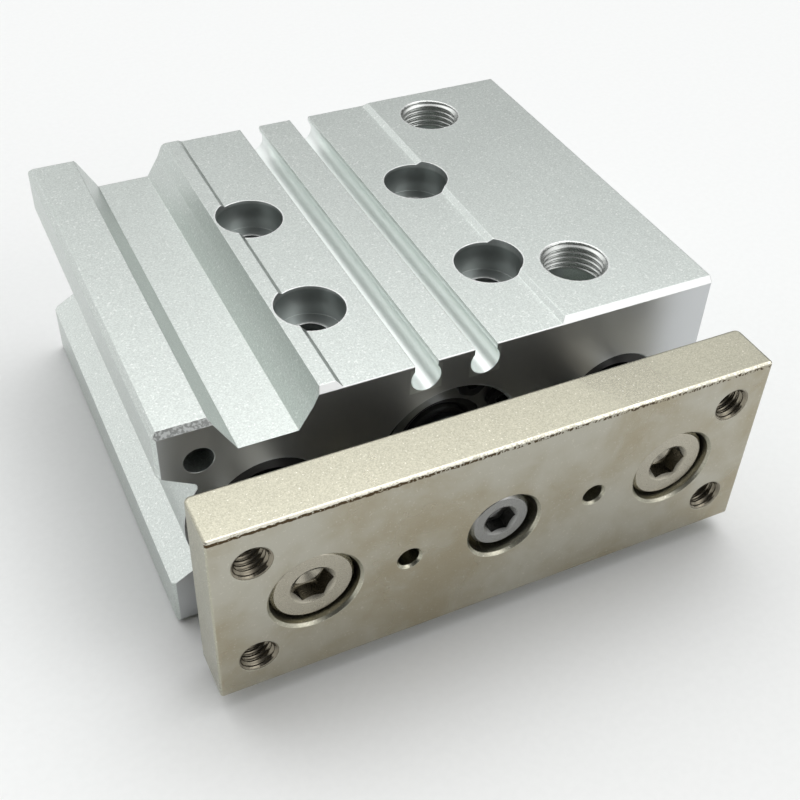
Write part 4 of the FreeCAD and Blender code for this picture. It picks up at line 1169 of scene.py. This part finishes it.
@dataclass
class Studio:
    """Floor, world and camera."""

    floor_radius: float = 2.5
    floor_rows: Tuple[float, ...] = (0.002, 0.05, 0.2, 1.0)
    floor_columns: int = 96
    floor_level: float = -0.05 * MM
    middle_half: float = 0.006
    middle_level: float = -0.06 * MM
    floor_colour: Colour = (0.87, 0.88, 0.875)
    floor_roughness: float = 0.9
    floor_gloss: float = 0.1
    fibre_scale: float = 900.0
    fibre_shade: float = 0.985
    camera_place: Point = (-0.06175186, -0.12910979, 0.13450798)
    camera_right: Point = (0.90138123, -0.43169872, 0.03388352)
    camera_up: Point = (0.26533332, 0.61245859, 0.74464267)
    camera_forward: Point = (0.34221355, 0.66221650, -0.66660273)
    lens: float = 53.136
    sensor: float = 36.0
    clip: Span = (0.005, 50.0)
    backdrop: Colour = (0.92, 0.93, 0.925)
    sky_level: float = 0.05
    glows: Tuple[Glow, ...] = (   # bearing, height, tightness, level
        Glow(72.0, 64.0, 14.0, 3.3),
        Glow(30.0, 60.0, 20.0, 1.4),
        Glow(-15.0, 64.0, 20.0, 1.5),
        Glow(-35.0, 52.0, 7.0, 0.95),
        Glow(140.0, 18.0, 9.0, 1.3),
        Glow(-40.0, 18.0, 9.0, 0.95),
        Glow(143.0, 38.0, 28.0, 1.5),
    )

    def add_camera(self) -> None:
        """Sets the camera from its place and its three directions."""
        data = bpy.data.cameras.new("camera")
        data.lens, data.sensor_width, data.sensor_fit = self.lens, self.sensor, "HORIZONTAL"
        data.clip_start, data.clip_end = self.clip
        camera = bpy.data.objects.new("camera", data)
        bpy.context.scene.collection.objects.link(camera)
        back = tuple(-part for part in self.camera_forward)
        turn = Matrix((self.camera_right, self.camera_up, back)).transposed()
        camera.matrix_world = Matrix.Translation(self.camera_place) @ turn.to_4x4()
        bpy.context.scene.camera = camera

    def add_floor(self) -> None:
        """A pale round floor just under the object, with the faintest paper grain.

        Its points are rings whose radii are shares of the whole; a small square closes the
        middle.
        """
        material, graph, shader = start_material("pale_floor")
        fibre = graph.noise(graph.place(), self.fibre_scale, detail=3.0)
        tone = graph.mix(graph.remap(fibre, *GRAIN_TONES),
                         shade(self.floor_colour, self.fibre_shade), self.floor_colour)
        graph.feed(shader["Base Color"], tone)
        shader["Roughness"].default_value = self.floor_roughness
        shader["Specular IOR Level"].default_value = self.floor_gloss
        angle = np.linspace(0.0, math.tau, self.floor_columns, endpoint=False)
        radius = self.floor_radius * np.array(self.floor_rows)[:, None]
        points = np.stack([radius * np.cos(angle), radius * np.sin(angle),
                           np.full((len(radius), len(angle)), self.floor_level)], -1)
        quads = ring_quads(len(radius), len(angle), False)
        floor = add_mesh("floor", points.reshape(-1, 3), quads[:, ::-1], material)
        square = self.middle_half * np.array([[-1.0, -1.0, 0.0], [1.0, -1.0, 0.0],
                                              [1.0, 1.0, 0.0], [-1.0, 1.0, 0.0]])
        middle = add_mesh("floor_middle", square + np.array([0.0, 0.0, self.middle_level]),
                          np.array([[0, 1, 2, 3]]), material)

    def add_world(self) -> None:
        """A plain sky: white to the eye, and for light a faint level with a few soft glows.

        A glow's strength is its level times e to the power of its tightness times the cosine
        of the angle from its middle less one.
        """
        world = bpy.data.worlds.new("studio")
        bpy.context.scene.world = world
        world.use_nodes = True
        graph = Graph(world.node_tree)
        way = graph.add("VectorMath", {0: graph.add("TexCoord", {}, "Generated")},
                        operation="NORMALIZE")
        level = self.sky_level
        for glow in self.glows:
            away = graph.math("SUBTRACT", graph.dot(way, glow.direction()), 1.0)
            fall = graph.math("EXPONENT", graph.times(away, glow.tightness))
            level = graph.math("ADD", level, graph.times(fall, glow.level))
        sky = graph.add("Background", {"Color": (1.0, 1.0, 1.0), "Strength": level})
        seen = graph.add("Background", {"Color": self.backdrop})
        pick = graph.add("MixShader", {0: graph.add("LightPath", {}, "Is Camera Ray"), 1: sky,
                                       2: seen})
        graph.feed(graph.node("OutputWorld").inputs["Surface"], pick)

    def build(self) -> None:
        """Sets up the whole studio."""
        self.add_camera()
        self.add_floor()
        self.add_world()
        bpy.context.scene.view_settings.view_transform = "Standard"
        LOG.info("studio: %d glows in the sky", len(self.glows))


def main() -> None:
    """Builds the studio and dresses each sub-assembly in turn."""
    logging.basicConfig(level=logging.INFO, format="%(name)s: %(message)s")
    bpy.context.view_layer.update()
    effects = build_effects()
    Studio().build()
    Body(effects).build()
    BoreParts(effects).build()
    Carriage(effects).build()


if __name__ == "__main__":
    main()
